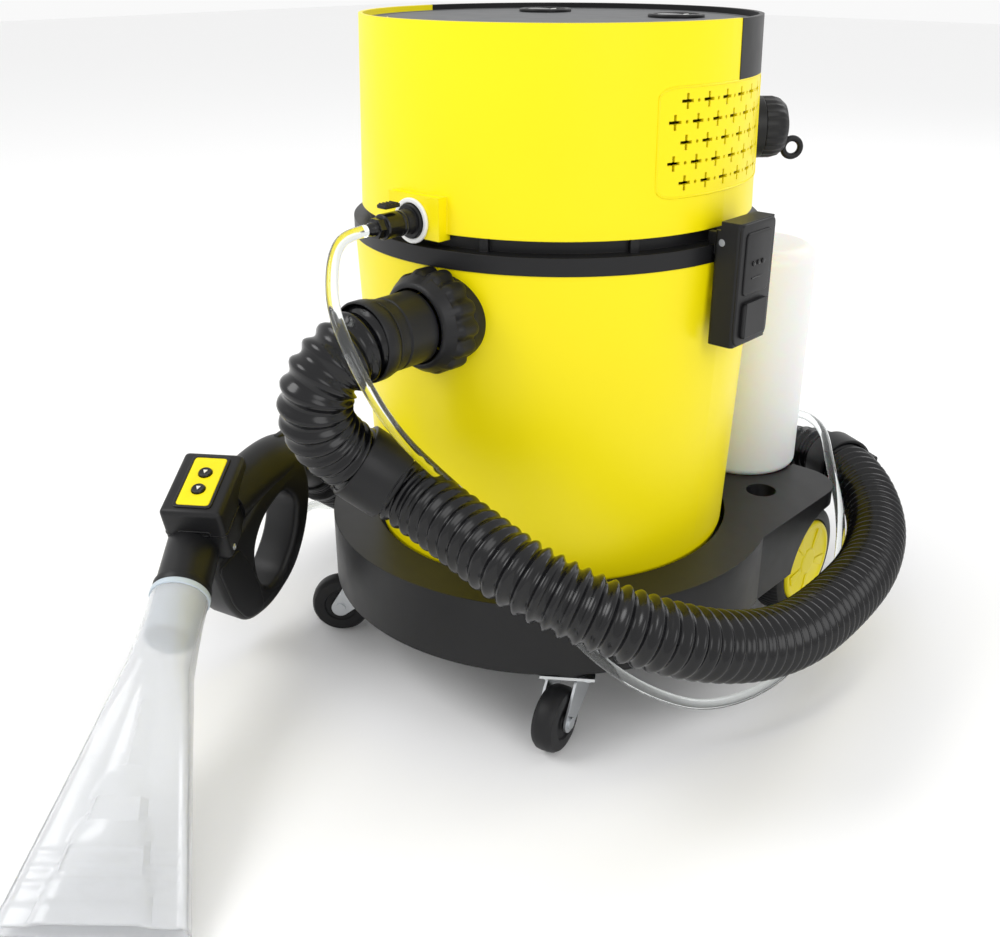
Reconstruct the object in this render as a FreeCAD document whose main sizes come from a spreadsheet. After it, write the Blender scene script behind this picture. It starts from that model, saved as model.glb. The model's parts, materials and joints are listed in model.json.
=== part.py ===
"""Spot extractor: a wet vacuum head on a round tank, a wheeled base, a clean-water can,
a suction hose with a clear solution tube, and a hand tool with a clear nozzle.

Millimetres. +Z is up, the suction inlet faces -Y, the clean-water can stands at +Y.
The origin is on the floor, on the vertical axis of the round tank.
"""
import FreeCAD
import Part
import math
import os
import re
import Sketcher

from FreeCAD import Placement, Rotation, Vector

doc = FreeCAD.newDocument("SpotExtractor")

# ---------------------------------------------------------------- driving dimensions
DIMENSIONS = {
    "overall_height": 500.0,
    "overall_width": 360.0,
    "wall": 3.0,
    # base
    "base_bottom": 65.0,
    "deck_top": 121.0,
    "base_wall": 4.0,
    "base_side": 172.0,
    "base_rear": 195.0,
    "corner_radius": 34.0,
    "shelf_half": 92.0,
    "shelf_rear": 226.0,
    "cup_radius": 144.5,
    "cup_floor": 98.0,
    "hole_place_side": 126.6,
    "hole_place_back": 128.0,
    "hole_radius": 12.5,
    "hole_depth": 12.0,
    # rear wheels
    "wheel_radius": 50.0,
    "wheel_back": 163.0,
    "wheel_inside": 131.0,
    "wheel_width": 28.0,
    "arch_radius": 57.0,
    "axle_radius": 5.0,
    # casters
    "caster_side": 112.0,
    "caster_front": -113.0,
    "caster_trail": 20.0,
    "caster_radius": 25.0,
    "caster_width": 18.0,
    "caster_pin": 3.0,
    # tank
    "tank_bottom": 102.0,
    "tank_top": 349.0,
    "tank_low_radius": 141.0,
    "tank_high_radius": 150.3,
    # inlet
    "inlet_side": 24.0,
    "inlet_height": 315.0,
    "inlet_pipe": 25.0,
    "inlet_bore": 20.5,
    # head
    "ring_radius": 151.0,
    "ring_top": 361.0,
    "neck_radius": 139.0,
    "seat_radius": 16.0,
    "head_bottom": 370.0,
    "head_low_radius": 144.5,
    "head_high_radius": 141.0,
    "cover_height": 490.0,
    "switch_side": 60.0,
    "switch_back": 57.0,
    # latches
    "latch_face": 172.0,
    "latch_half": 22.0,
    "latch_bottom": 294.0,
    "latch_top": 378.0,
    "latch_pin_side": 158.0,
    "latch_pin_height": 364.0,
    "latch_pin_radius": 2.5,
    # clean-water can
    "can_end": 47.0,
    "can_centre_side": 74.0,
    "can_centre_back": 183.0,
    "can_height": 198.0,
    "can_clear": 154.0,
    # cords
    "hose_radius": 24.0,
    "tube_radius": 4.0,
}

sheet = doc.addObject("Spreadsheet::Sheet", "Size")
for row, (alias, value) in enumerate(DIMENSIONS.items(), start=1):
    sheet.set("A%d" % row, alias)
    sheet.set("B%d" % row, str(value))
    sheet.setAlias("B%d" % row, alias)
doc.recompute()


def size(alias):
    """The value of one cell of the sheet."""
    return float(sheet.get(alias))


PARTS = []


def expression(text):
    """A sheet expression: every alias in the text gets the sheet's name before it."""
    return re.sub(r"[a-z_]+", lambda word: "Size." + word.group(0)
                  if word.group(0) in DIMENSIONS else word.group(0), str(text))


def value(text):
    """The number that an expression of aliases comes to."""
    return float(sheet.evalExpression(expression(text)))


def bind(obj, **sizes):
    """Bind properties to expressions; a double underscore stands for a dot."""
    for prop, text in sizes.items():
        obj.setExpression(prop.replace("__", "."), expression(text))
    return obj


def named(obj, node):
    """Give a finished sub-part its node name and put it on the list to write."""
    obj.Label = node
    PARTS.append(obj)
    return obj


TO_X = Rotation(Vector(0, 0, 1), Vector(1, 0, 0))
TO_MINUS_X = Rotation(Vector(0, 0, 1), Vector(-1, 0, 0))
TO_MINUS_Y = Rotation(Vector(0, 0, 1), Vector(0, -1, 0))
TO_Y = Rotation(Vector(0, 0, 1), Vector(0, 1, 0))
UPRIGHT = Rotation()


def cylinder(name, radius, height, x="0", y="0", z="0", turn=UPRIGHT):
    obj = doc.addObject("Part::Cylinder", name)
    obj.Placement = Placement(Vector(), turn)
    bind(obj, Radius=radius, Height=height)
    bind(obj, Placement__Base__x=x, Placement__Base__y=y, Placement__Base__z=z)
    return obj


def cone(name, radius_low, radius_high, height, x="0", y="0", z="0", turn=UPRIGHT):
    obj = doc.addObject("Part::Cone", name)
    obj.Placement = Placement(Vector(), turn)
    bind(obj, Radius1=radius_low, Radius2=radius_high, Height=height)
    bind(obj, Placement__Base__x=x, Placement__Base__y=y, Placement__Base__z=z)
    return obj


def box(name, length, width, height, x="0", y="0", z="0"):
    obj = doc.addObject("Part::Box", name)
    bind(obj, Length=length, Width=width, Height=height)
    bind(obj, Placement__Base__x=x, Placement__Base__y=y, Placement__Base__z=z)
    return obj


def cut(name, base, tool):
    obj = doc.addObject("Part::Cut", name)
    obj.Base = base
    obj.Tool = tool
    return obj


def join(name, shapes):
    obj = doc.addObject("Part::MultiFuse", name)
    obj.Shapes = shapes
    return obj


def common(name, first, second):
    obj = doc.addObject("Part::Common", name)
    obj.Base = first
    obj.Tool = second
    return obj


def solid(name, shape, placement=None):
    """A feature whose shape comes straight from Part's own functions."""
    obj = doc.addObject("Part::Feature", name)
    obj.Shape = shape
    if placement is not None:
        obj.Placement = placement
    return obj


def upright_edges(shape):
    """Numbers of the straight vertical edges of a shape."""
    found = []
    for number, edge in enumerate(shape.Edges, start=1):
        if edge.Curve.TypeId == "Part::GeomLine" and abs(edge.tangentAt(edge.FirstParameter).z) > 0.99:
            found.append(number)
    return found


def round_upright(name, base, radius):
    """Round every vertical edge of a base object."""
    doc.recompute()
    obj = doc.addObject("Part::Fillet", name)
    obj.Base = base
    obj.Edges = [(number, radius, radius) for number in upright_edges(base.Shape)]
    return obj


def revolved_body(name, profile):
    """A PartDesign body: a revolved sketch with every corner held to a sheet expression.

    profile is a list of (radius, height) expression pairs, in order.
    """
    body = doc.addObject("PartDesign::Body", name + "_body")
    sketch = body.newObject("Sketcher::SketchObject", name + "_sketch")
    plane = [o for o in body.Origin.OriginFeatures if o.Role == "XZ_Plane"][0]
    sketch.AttachmentSupport = [(plane, "")]
    sketch.MapMode = "FlatFace"
    doc.recompute()
    points = [(value(r), value(h)) for r, h in profile]
    for start, end in zip(points, points[1:] + points[:1]):
        sketch.addGeometry(Part.LineSegment(Vector(start[0], start[1], 0), Vector(end[0], end[1], 0)))
    count = len(points)
    for index in range(count):
        sketch.addConstraint(Sketcher.Constraint("Coincident", index, 2, (index + 1) % count, 1))
    for index, (r, h) in enumerate(profile):
        for kind, text, number in (("DistanceX", r, 0), ("DistanceY", h, 1)):
            where = points[index][number]
            place = sketch.addConstraint(Sketcher.Constraint(kind, -1, 1, index, 1, where))
            sketch.setExpression("Constraints[%d]" % place, expression(text))
    turn = body.newObject("PartDesign::Revolution", name + "_turn")
    turn.Profile = sketch
    turn.ReferenceAxis = (sketch, ["V_Axis"])
    turn.Angle = 360
    body.Tip = turn
    return body


def mirrored(name, source):
    """The same piece on the other side of the YZ plane."""
    obj = doc.addObject("Part::Mirroring", name)
    obj.Source = source
    obj.Normal = Vector(1, 0, 0)
    return obj


# ---------------------------------------------------------------- base
def make_base():
    front = cylinder("base_front", "overall_width/2", "deck_top-base_bottom", z="base_bottom")
    rear = round_upright("base_rear_block", box(
        "base_rear_box", "base_side*2", "base_rear", "deck_top-base_bottom",
        "-base_side", "0", "base_bottom"), size("corner_radius"))
    shelf = round_upright("base_shelf", box(
        "base_shelf_box", "shelf_half*2", "60", "deck_top-base_bottom",
        "-shelf_half", "shelf_rear-60", "base_bottom"), 24)
    outer = join("base_outer", [front, rear, shelf])
    inside_top = "deck_top-base_bottom-base_wall"
    hollow_front = cylinder("hollow_front", "overall_width/2-base_wall", inside_top, z="base_bottom")
    hollow_rear = round_upright("hollow_rear", box(
        "hollow_rear_box", "(base_side-base_wall)*2", "base_rear-base_wall", inside_top,
        "-base_side+base_wall", "0", "base_bottom"), size("corner_radius") - size("base_wall"))
    hollow_shelf = round_upright("hollow_shelf", box(
        "hollow_shelf_box", "(shelf_half-base_wall)*2", "60", inside_top,
        "-shelf_half+base_wall", "shelf_rear-base_wall-60", "base_bottom"), 20)
    shell = cut("base_shell", outer, join("base_hollow", [hollow_front, hollow_rear, hollow_shelf]))

    added = [shell, cylinder("cup", "cup_radius+base_wall", "deck_top-cup_floor+base_wall-1",
                             z="cup_floor-base_wall+1")]
    removed = [cylinder("cup_recess", "cup_radius", "deck_top-cup_floor+1", z="cup_floor+4")]
    for side, sign in (("right", "1"), ("left", "-1")):
        added.append(cylinder("socket_" + side, "hole_radius+3", "hole_depth",
                              sign + "*hole_place_side", "hole_place_back", "deck_top-hole_depth"))
        removed.append(cylinder("socket_bore_" + side, "hole_radius", "hole_depth+2",
                                sign + "*hole_place_side", "hole_place_back", "deck_top-hole_depth-1"))
        added.append(cylinder("caster_boss_" + side, "20", "deck_top-base_wall-62",
                              sign + "*caster_side", "caster_front", "62"))
        web_x = "112" if side == "right" else "-120"
        added.append(box("web_" + side, "8", "40", "deck_top-base_wall-38", web_x, "wheel_back-20", "38"))
        added.append(cylinder("spacer_" + side, "9", "10.6", sign + "*120", "wheel_back", "wheel_radius",
                              TO_X if side == "right" else TO_MINUS_X))
        removed.append(cylinder("arch_" + side, "arch_radius", "60", sign + "*130.7", "wheel_back",
                                "wheel_radius", TO_X if side == "right" else TO_MINUS_X))
    removed.append(cylinder("axle_hole", "axle_radius", "300", "-150", "wheel_back", "wheel_radius", TO_X))
    can_seat = cylinder("can_seat_a", "can_end+0.5", "3", "can_centre_side", "can_centre_back", "deck_top-2")
    can_seat_b = cylinder("can_seat_b", "can_end+0.5", "3", "-can_centre_side", "can_centre_back",
                          "deck_top-2")
    removed += [can_seat, can_seat_b]
    named(cut("base_tray", join("base_added", added), join("base_removed", removed)), "base_tray")


def make_rear_wheels():
    named(cylinder("rear_axle", "axle_radius", "308", "-154", "wheel_back", "wheel_radius", TO_X),
          "rear_axle")
    clips = []
    for side, sign, turn in (("right", "1", TO_X), ("left", "-1", TO_MINUS_X)):
        width = "wheel_width"
        body = cylinder("tyre_" + side, "wheel_radius", width, sign + "*wheel_inside", "wheel_back",
                        "wheel_radius", turn)
        doc.recompute()
        rounded = doc.addObject("Part::Fillet", "tyre_round_" + side)
        rounded.Base = body
        rounded.Edges = [(number, 6, 6) for number, edge in enumerate(body.Shape.Edges, start=1)
                         if edge.Curve.TypeId == "Part::GeomCircle"]
        bore = cylinder("wheel_bore_" + side, "axle_radius+0.06", "40", sign + "*(wheel_inside-5)",
                        "wheel_back", "wheel_radius", turn)
        face = cylinder("wheel_face_" + side, "37", "3", sign + "*(wheel_inside+wheel_width-2.5)",
                        "wheel_back", "wheel_radius", turn)
        pocket = cylinder("wheel_pocket_" + side, "13", "10", sign + "*(wheel_inside+wheel_width-9)",
                          "wheel_back", "wheel_radius", turn)
        named(cut("wheel_" + side, rounded, join("wheel_tools_" + side, [bore, face, pocket])),
              "rear_wheel_" + side)
        disc = cylinder("cap_disc_" + side, "36.8", "4.5", sign + "*(wheel_inside+wheel_width-2.5)",
                        "wheel_back", "wheel_radius", turn)
        doc.recompute()
        cap = doc.addObject("Part::Chamfer", "cap_edge_" + side)
        cap.Base = disc
        outer_rim = [number for number, edge in enumerate(disc.Shape.Edges, start=1)
                     if edge.Curve.TypeId == "Part::GeomCircle"]
        cap.Edges = [(max(outer_rim, key=lambda n: abs(disc.Shape.Edges[n - 1].Curve.Center.x)), 1.4, 1.4)]
        named(cap, "hub_cap_" + side)
        clip = cylinder("clip_disc_" + side, "9", "1.2", sign + "*(wheel_inside+wheel_width-7)",
                        "wheel_back", "wheel_radius", turn)
        hole = cylinder("clip_hole_" + side, "axle_radius", "6", sign + "*(wheel_inside+wheel_width-9)",
                        "wheel_back", "wheel_radius", turn)
        clips.append(cut("axle_clip_" + side, clip, hole))
    named(join("axle_clips", clips), "axle_clips")


# ---------------------------------------------------------------- casters
def hull_of_circles(low_centre, low_radius, high_centre, high_radius):
    """A flat face: two circles in the XZ plane and the lines that touch both."""
    across = high_centre - low_centre
    distance = across.Length
    tilt = math.asin((low_radius - high_radius) / distance)
    heading = math.atan2(across.z, across.x)

    def rim(centre, radius, angle):
        return centre + Vector(math.cos(angle), 0, math.sin(angle)) * radius

    left = heading + math.pi / 2 - tilt
    right = heading - math.pi / 2 + tilt
    edges = [
        Part.LineSegment(rim(low_centre, low_radius, left), rim(high_centre, high_radius, left)).toShape(),
        Part.Arc(rim(high_centre, high_radius, left), rim(high_centre, high_radius, heading),
                 rim(high_centre, high_radius, right)).toShape(),
        Part.LineSegment(rim(high_centre, high_radius, right), rim(low_centre, low_radius, right)).toShape(),
        Part.Arc(rim(low_centre, low_radius, right), rim(low_centre, low_radius, heading + math.pi),
                 rim(low_centre, low_radius, left)).toShape()]
    return Part.Face(Part.Wire(Part.__sortEdges__(edges)))


CASTER_TOP = 62.0
CASTER_PLATE_TURN = 55.2
TRAIL_WAY = {"right": (0.2, -0.98), "left": (-0.748, -0.664)}
FORK_TOP = 58.5
FORK_SHEET = 2.0
LEG_GAP = 1.2


def make_caster(side, sign):
    """One swivel caster; local X is the way that the wheel trails."""
    swivel = Vector(sign * size("caster_side"), size("caster_front"), 0)
    plate_place = Placement(swivel, Rotation(Vector(0, 0, 1), -sign * CASTER_PLATE_TURN))
    across, along = TRAIL_WAY[side]
    heading = math.degrees(math.atan2(along, across))
    place = Placement(swivel, Rotation(Vector(0, 0, 1), heading))
    trail, radius = size("caster_trail"), size("caster_radius")
    half = size("caster_width") / 2 + LEG_GAP

    plate = Part.makeBox(40, 40, 2.5, Vector(-20, -20, CASTER_TOP - 2.5))
    race = Part.makeCylinder(13, 0.6, Vector(0, 0, CASTER_TOP - 3.1))
    rivet = Part.makeCylinder(4, 6.5, Vector(0, 0, 55)).fuse(Part.makeCylinder(6.5, 1.5, Vector(0, 0, 53.5)))
    named(solid("caster_plate_" + side, plate.fuse(race).fuse(rivet).removeSplitter(), plate_place),
          "caster_plate_" + side)

    top = Part.makeCylinder(15, FORK_SHEET, Vector(0, 0, FORK_TOP - FORK_SHEET))
    bridge = Part.makeBox(22, 2 * (half + FORK_SHEET), FORK_SHEET,
                          Vector(-10, -half - FORK_SHEET, FORK_TOP - FORK_SHEET))
    leg = hull_of_circles(Vector(trail, 0, radius), 7.5, Vector(1, 0, FORK_TOP - 13), 13)
    leg = leg.extrude(Vector(0, FORK_SHEET, 0))
    left = leg.translated(Vector(0, half, 0))
    right = leg.translated(Vector(0, -half - FORK_SHEET, 0))
    pin_hole = Part.makeCylinder(size("caster_pin"), 60, Vector(trail, -30, radius), Vector(0, 1, 0))
    rivet_hole = Part.makeCylinder(4.06, 10, Vector(0, 0, 52))
    fork = top.fuse([bridge, left, right]).cut(pin_hole).cut(rivet_hole).removeSplitter()
    named(solid("caster_fork_" + side, fork, place), "caster_fork_" + side)

    long = half + FORK_SHEET
    pin = Part.makeCylinder(size("caster_pin"), 2 * long, Vector(trail, -long, radius), Vector(0, 1, 0))
    for end in (-1, 1):
        head = Part.makeCylinder(4.6, 1.6, Vector(trail, end * long, radius), Vector(0, end, 0))
        pin = pin.fuse(head)
    named(solid("caster_axle_" + side, pin.removeSplitter(), place), "caster_axle_" + side)

    width = size("caster_width")
    tread = Part.makeCylinder(radius, width, Vector(trail, -width / 2, radius), Vector(0, 1, 0))
    tread = tread.makeFillet(6, [e for e in tread.Edges if e.Curve.TypeId == "Part::GeomCircle"])
    bore = Part.makeCylinder(size("caster_pin") + 0.06, 60, Vector(trail, -30, radius), Vector(0, 1, 0))
    wheel = tread.cut(bore)
    for end in (-1, 1):
        dish = Part.makeCylinder(14, 2, Vector(trail, end * (width / 2 - 1.5), radius), Vector(0, end, 0))
        boss = Part.makeCylinder(6, 2, Vector(trail, end * (width / 2 - 1.5), radius), Vector(0, end, 0))
        wheel = wheel.cut(dish.cut(boss))
    named(solid("caster_wheel_" + side, wheel, place), "caster_wheel_" + side)

    screws = []
    for x in (-15, 15):
        for y in (-15, 15):
            head = Part.makeCylinder(3.4, 1.8, Vector(x, y, CASTER_TOP - 4.3))
            screws.append(head.transformed(plate_place.toMatrix()))
    return screws


# ---------------------------------------------------------------- tank and inlet
def make_tank():
    low, high = "tank_low_radius", "tank_high_radius"
    body = revolved_body("tank", [
        ("0", "tank_bottom"), (low + "-19", "tank_bottom"), (low + "-9", "tank_bottom+2.5"),
        (low + "-2.5", "tank_bottom+9"), (low, "tank_bottom+18"), (high, "tank_top"),
        (high + "-wall", "tank_top"), (low + "-wall", "tank_bottom+18"),
        (low + "-wall-4", "tank_bottom+10"), (low + "-19", "tank_bottom+3.5"), ("0", "tank_bottom+3.5")])
    catches = [box("catch_right", "12", "28", "7", "tank_high_radius-3.6", "-14", "324"),
               box("catch_left", "12", "28", "7", "-tank_high_radius-8.4", "-14", "324")]
    hole = cylinder("tank_inlet_hole", "inlet_pipe", "60", "inlet_side", "-110", "inlet_height", TO_MINUS_Y)
    inside = cylinder("tank_inside", "tank_high_radius-wall-1.2", "30", z="312")
    outside_catches = cut("catch_blocks", join("catch_pair", catches), inside)
    named(cut("tank", join("tank_and_catches", [body, outside_catches]), hole), "tank")


def make_inlet():
    where = dict(x="inlet_side", z="inlet_height", turn=TO_MINUS_Y)
    pipe = cylinder("inlet_tube", "inlet_pipe", "40", y="-138.5", **where)
    saddle = cylinder("inlet_saddle", "34", "24", y="-134", **where)
    tank_room = cylinder("tank_room", "tank_high_radius", "200", z="200")
    seat = cut("inlet_seat", saddle, tank_room)
    bore = cylinder("inlet_bore_hole", "inlet_bore", "80", y="-120", **where)
    named(cut("inlet_flange", join("inlet_body", [pipe, seat]), bore), "inlet_flange")

    barrel = cylinder("collar_barrel", "34", "12", y="-158.4", **where)
    flank = cone("collar_flank", "34", "29", "8", y="-170.4", **where)
    hole = cylinder("collar_hole", "inlet_pipe+0.08", "60", y="-140", **where)
    scallops = [hole]
    for number in range(12):
        angle = math.radians(30 * number + 15)
        scallops.append(cylinder("scallop_%d" % number, "5", "40", y="-150",
                                 x="inlet_side+%.4f*38" % math.cos(angle),
                                 z="inlet_height+%.4f*38" % math.sin(angle), turn=TO_MINUS_Y))
    named(cut("inlet_collar", join("collar_body", [barrel, flank]), join("collar_tools", scallops)),
          "inlet_collar")

    insert = cylinder("cuff_insert", "inlet_bore", "30", y="-150", **where)
    barrel = cylinder("cuff_barrel", "23.4", "20", y="-180", **where)
    lip = cylinder("cuff_lip", "25.5", "7", y="-200", **where)
    bore = cylinder("cuff_bore", "17", "80", y="-140", **where)
    named(cut("hose_cuff", join("cuff_body", [insert, barrel, lip]), bore), "hose_cuff")


# ---------------------------------------------------------------- head
def make_ring():
    ring = revolved_body("ring", [
        ("seat_radius", "ring_top-3"), ("142", "ring_top-3"), ("142", "tank_top-3"), ("144.4", "tank_top-3"),
        ("144.4", "tank_top+3"), ("149.9", "tank_top+3"), ("149.9", "tank_top"),
        ("ring_radius", "tank_top"), ("ring_radius", "ring_top"), ("neck_radius", "ring_top"),
        ("neck_radius", "head_bottom+8"), ("neck_radius-3", "head_bottom+8"),
        ("neck_radius-3", "ring_top"), ("seat_radius", "ring_top")])
    pieces = [ring]
    for number in range(9):
        block = Part.makeBox(5.4, 6, size("head_bottom") - size("ring_top"),
                             Vector(size("neck_radius") - 1.5, -3, size("ring_top")))
        around = Placement(Vector(), Rotation(Vector(0, 0, 1), 40 * number - 70))
        pieces.append(solid("lug_%d" % number, block, around))
    for number, (x, y) in enumerate(((145, 13), (145, -17.5), (-163, 13), (-163, -17.5))):
        pieces.append(box("latch_lug_%d" % number, "18", "4.5", "14.5", str(x), str(y), "355"))
    body = join("ring_body", pieces)
    holes = [cylinder("ring_pin_%s" % side, "latch_pin_radius", "60", sign + "*latch_pin_side", "-30",
                      "latch_pin_height", TO_Y) for side, sign in (("right", "1"), ("left", "-1"))]
    named(cut("head_ring", body, join("ring_holes", holes)), "head_ring")

    outer = cylinder("gasket_outer", "149.8", "3", z="tank_top")
    inner = cylinder("gasket_inner", "144.5", "5", z="tank_top-1")
    named(cut("tank_gasket", outer, inner), "tank_gasket")


def head_cone(name, offset, low="head_bottom", high="overall_height"):
    """The head's tapering outside, moved in or out by an offset."""
    slope = "(head_low_radius-head_high_radius)/(overall_height-head_bottom)"
    low_radius = "head_low_radius-%s*(%s-head_bottom)%s" % (slope, low, offset)
    high_radius = "head_low_radius-%s*(%s-head_bottom)%s" % (slope, high, offset)
    return cone(name, low_radius, high_radius, "%s-(%s)" % (high, low), z=low)


GRIP_LOW = 462.0
GRIP_START = 12.0
PORT_ANGLE = 135.0
PORT_HEIGHT = 420.0
GLAND_ANGLE = 200.0
GLAND_HEIGHT = 398.0


def radial(name, angle, start, length, radius, height):
    """A cylinder that points away from the vertical axis; angles run from -Y toward +X."""
    turn = math.radians(angle)
    out = Vector(math.sin(turn), -math.cos(turn), 0)
    obj = cylinder(name, radius, length, "%.5f*%s" % (out.x, start), "%.5f*%s" % (out.y, start),
                   str(height), Rotation(Vector(0, 0, 1), out))
    return obj


def plus_holes():
    """The vent's staggered rows of plus-shaped slots and dots, on both sides of the head."""
    tools = []
    for row in range(5):
        height = 403.0 + 12.6 * row
        count = 7 if row % 2 else 6
        for column in range(count):
            angle = 70.0 + 7.6 * column + (0.0 if row % 2 else 3.8)
            for mirror in (1, -1):
                turn = Placement(Vector(0, 0, height), Rotation(Vector(0, 0, 1), mirror * (angle - 90)))
                if mirror < 0:
                    turn = Placement(Vector(0, 0, height), Rotation(Vector(0, 0, 1), 180 - (angle - 90)))
                across = Part.makeBox(12, 9.5, 1.9, Vector(134, -4.75, -0.95))
                upright = Part.makeBox(12, 1.9, 9.5, Vector(134, -0.95, -4.75))
                tools.append(across.fuse(upright).transformed(turn.toMatrix()))
                if column < count - 1:
                    dot = Part.makeCylinder(1.1, 12, Vector(134, 0, 0), Vector(1, 0, 0))
                    half = Placement(Vector(0, 0, height),
                                     Rotation(Vector(0, 0, 1), turn.Rotation.toEuler()[0] + mirror * 3.8))
                    tools.append(dot.transformed(half.toMatrix()))
    return Part.makeCompound(tools)


def make_head():
    outer = head_cone("shell_outer", "")
    lug = box("coupler_lug", "46", "11", "28", "-22", "-150", "366")
    inner = head_cone("shell_inner", "-wall", "head_bottom-5", "overall_height+5")
    body = cut("shell_body", join("shell_with_lug", [outer, lug]), inner)
    grip_room = box("grip_room", "400", "200", "60", "-200", str(GRIP_START), str(GRIP_LOW))
    port = radial("shell_port", PORT_ANGLE, 120, 60, "18", PORT_HEIGHT)
    gland = radial("shell_gland", GLAND_ANGLE, 120, 60, "9", GLAND_HEIGHT)
    socket = cylinder("shell_socket", "7", "40", "0", "-130", "377", TO_MINUS_Y)
    vents = solid("vent_tool", plus_holes())
    named(cut("head_shell", body, join("shell_tools", [grip_room, port, gland, socket, vents])),
          "head_shell")

    grip_out = head_cone("grip_out", "+0.4", str(GRIP_LOW))
    grip_in = head_cone("grip_in", "-wall", str(GRIP_LOW - 1), "overall_height+1")
    grip_box = box("grip_box", "400", "200", "overall_height-%s" % GRIP_LOW, "-200", str(GRIP_START),
                   str(GRIP_LOW))
    named(common("rear_grip", cut("grip_ring", grip_out, grip_in), grip_box), "rear_grip")

    plate = cylinder("cover_plate", "head_high_radius-wall-0.05", "6", z="cover_height")
    holes = [cylinder("switch_hole_%s" % side, "16", "20", sign + "*switch_side", "switch_back",
                      "cover_height-5") for side, sign in (("right", "1"), ("left", "-1"))]
    named(cut("top_cover", plate, join("cover_holes", holes)), "top_cover")

    bezels = []
    for side, sign, node in (("right", "1", "switch_vacuum"), ("left", "-1", "switch_pump")):
        at = dict(x=sign + "*switch_side", y="switch_back")
        rim = cylinder("bezel_out_" + side, "20", "2.6", z="cover_height+6", **at)
        room = cylinder("bezel_in_" + side, "16", "6", z="cover_height+5", **at)
        bezels.append(cut("bezel_" + side, rim, room))
        named(cylinder(node, "14.4", "9", z="cover_height-1", **at), node)
    named(join("switch_bezels", bezels), "switch_bezels")


def make_head_fittings():
    tube = radial("port_tube", PORT_ANGLE, 137, 23, "18", PORT_HEIGHT)
    flange = radial("port_flange", PORT_ANGLE, 136, 14, "22", PORT_HEIGHT)
    room = head_cone("port_room", "+0.1")
    seat = cut("port_seat", flange, room)
    bore = radial("port_bore", PORT_ANGLE, 130, 40, "14.5", PORT_HEIGHT)
    named(cut("exhaust_port", join("port_body", [tube, seat]), bore), "exhaust_port")

    turn = math.radians(PORT_ANGLE)
    out = Vector(math.sin(turn), -math.cos(turn), 0)
    start = 150.4
    centre = Vector(0, 0, PORT_HEIGHT)
    dome = Part.makeCylinder(22, 20, centre + out * start, out)
    rim = [e for e in dome.Edges if e.Curve.TypeId == "Part::GeomCircle"
           and (e.Curve.Center - centre).dot(out) > start + 10]
    dome = dome.makeFillet(12, rim)
    hollow = Part.makeCylinder(18.08, 10.2, centre + out * (start - 0.1), out)
    eye = Part.makeTorus(6.5, 2.4, centre + out * 176 + Vector(0, 0, -15), Vector(out.y, -out.x, 0))
    cap = dome.fuse(eye).cut(hollow).removeSplitter()
    named(solid("port_cap", cap), "port_cap")

    stem = radial("gland_stem", GLAND_ANGLE, 137, 24, "9", GLAND_HEIGHT)
    core = radial("gland_bore", GLAND_ANGLE, 130, 40, "3.6", GLAND_HEIGHT)
    named(cut("power_cord_gland", stem, core), "power_cord_gland")


def make_latches():
    shell = round_upright("latch_block", box(
        "latch_box", "latch_face-152.5", "latch_half*2", "latch_top-latch_bottom",
        "152.5", "-latch_half", "latch_bottom"), 2.5)
    pocket = box("latch_pocket", "latch_face-4-145", "latch_half*2-6", "latch_top-latch_bottom",
                 "145", "-latch_half+3", "latch_bottom-3")
    relief = box("latch_relief", "12", "60", "8", "145", "-30", "latch_top-6")
    hook = box("latch_hook", "15.5", "28", "4.4", "153", "-14", "319")
    step = box("latch_step", "7", "26", "24", "latch_face-3", "-13", "300")
    bore = cylinder("latch_bore", "latch_pin_radius+0.07", "60", "latch_pin_side", "-30",
                    "latch_pin_height", TO_Y)
    hollow = cut("latch_hollow", shell, join("latch_rooms", [pocket, relief]))
    latch = cut("latch_right", join("latch_body", [hollow, hook, step]), bore)
    named(latch, "latch_right")
    named(mirrored("latch_left", latch), "latch_left")
    pins = [cylinder("latch_pin_%s" % side, "latch_pin_radius", "43", sign + "*latch_pin_side", "-21.5",
                     "latch_pin_height", TO_Y) for side, sign in (("right", "1"), ("left", "-1"))]
    named(join("latch_pins", pins), "latch_pins")


COUPLER_HEIGHT = "377"


def make_coupler():
    at = dict(x="0", z=COUPLER_HEIGHT, turn=TO_MINUS_Y)
    stem = cylinder("socket_stem", "7", "18", y="-142", **at)
    disc = cylinder("socket_disc", "11.5", "4", y="-150", **at)
    named(join("coupler_socket", [stem, disc]), "coupler_socket")
    rim = cylinder("coupler_rim", "15", "2.2", y="-150", **at)
    hole = cylinder("coupler_rim_hole", "11.6", "6", y="-148", **at)
    named(cut("coupler_ring", rim, hole), "coupler_ring")

    body = cylinder("plug_body", "8.4", "18", y="-160.2", **at)
    nut = cylinder("plug_nut", "6.5", "6", y="-178.2", **at)
    barb = cylinder("plug_barb", "3", "7.8", y="-184.2", **at)
    slot = box("plug_slot", "6.4", "10", "6.4", "-3.2", "-176", "380")
    named(cut("coupler_plug", join("plug_parts", [body, nut, barb]), slot), "coupler_plug")
    stem = box("button_stem", "6", "9.6", "6", "-3", "-175.8", "383")
    cap = box("button_cap", "9", "14", "3", "-4.5", "-178", "388.4")
    named(join("coupler_button", [stem, cap]), "coupler_button")


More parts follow.
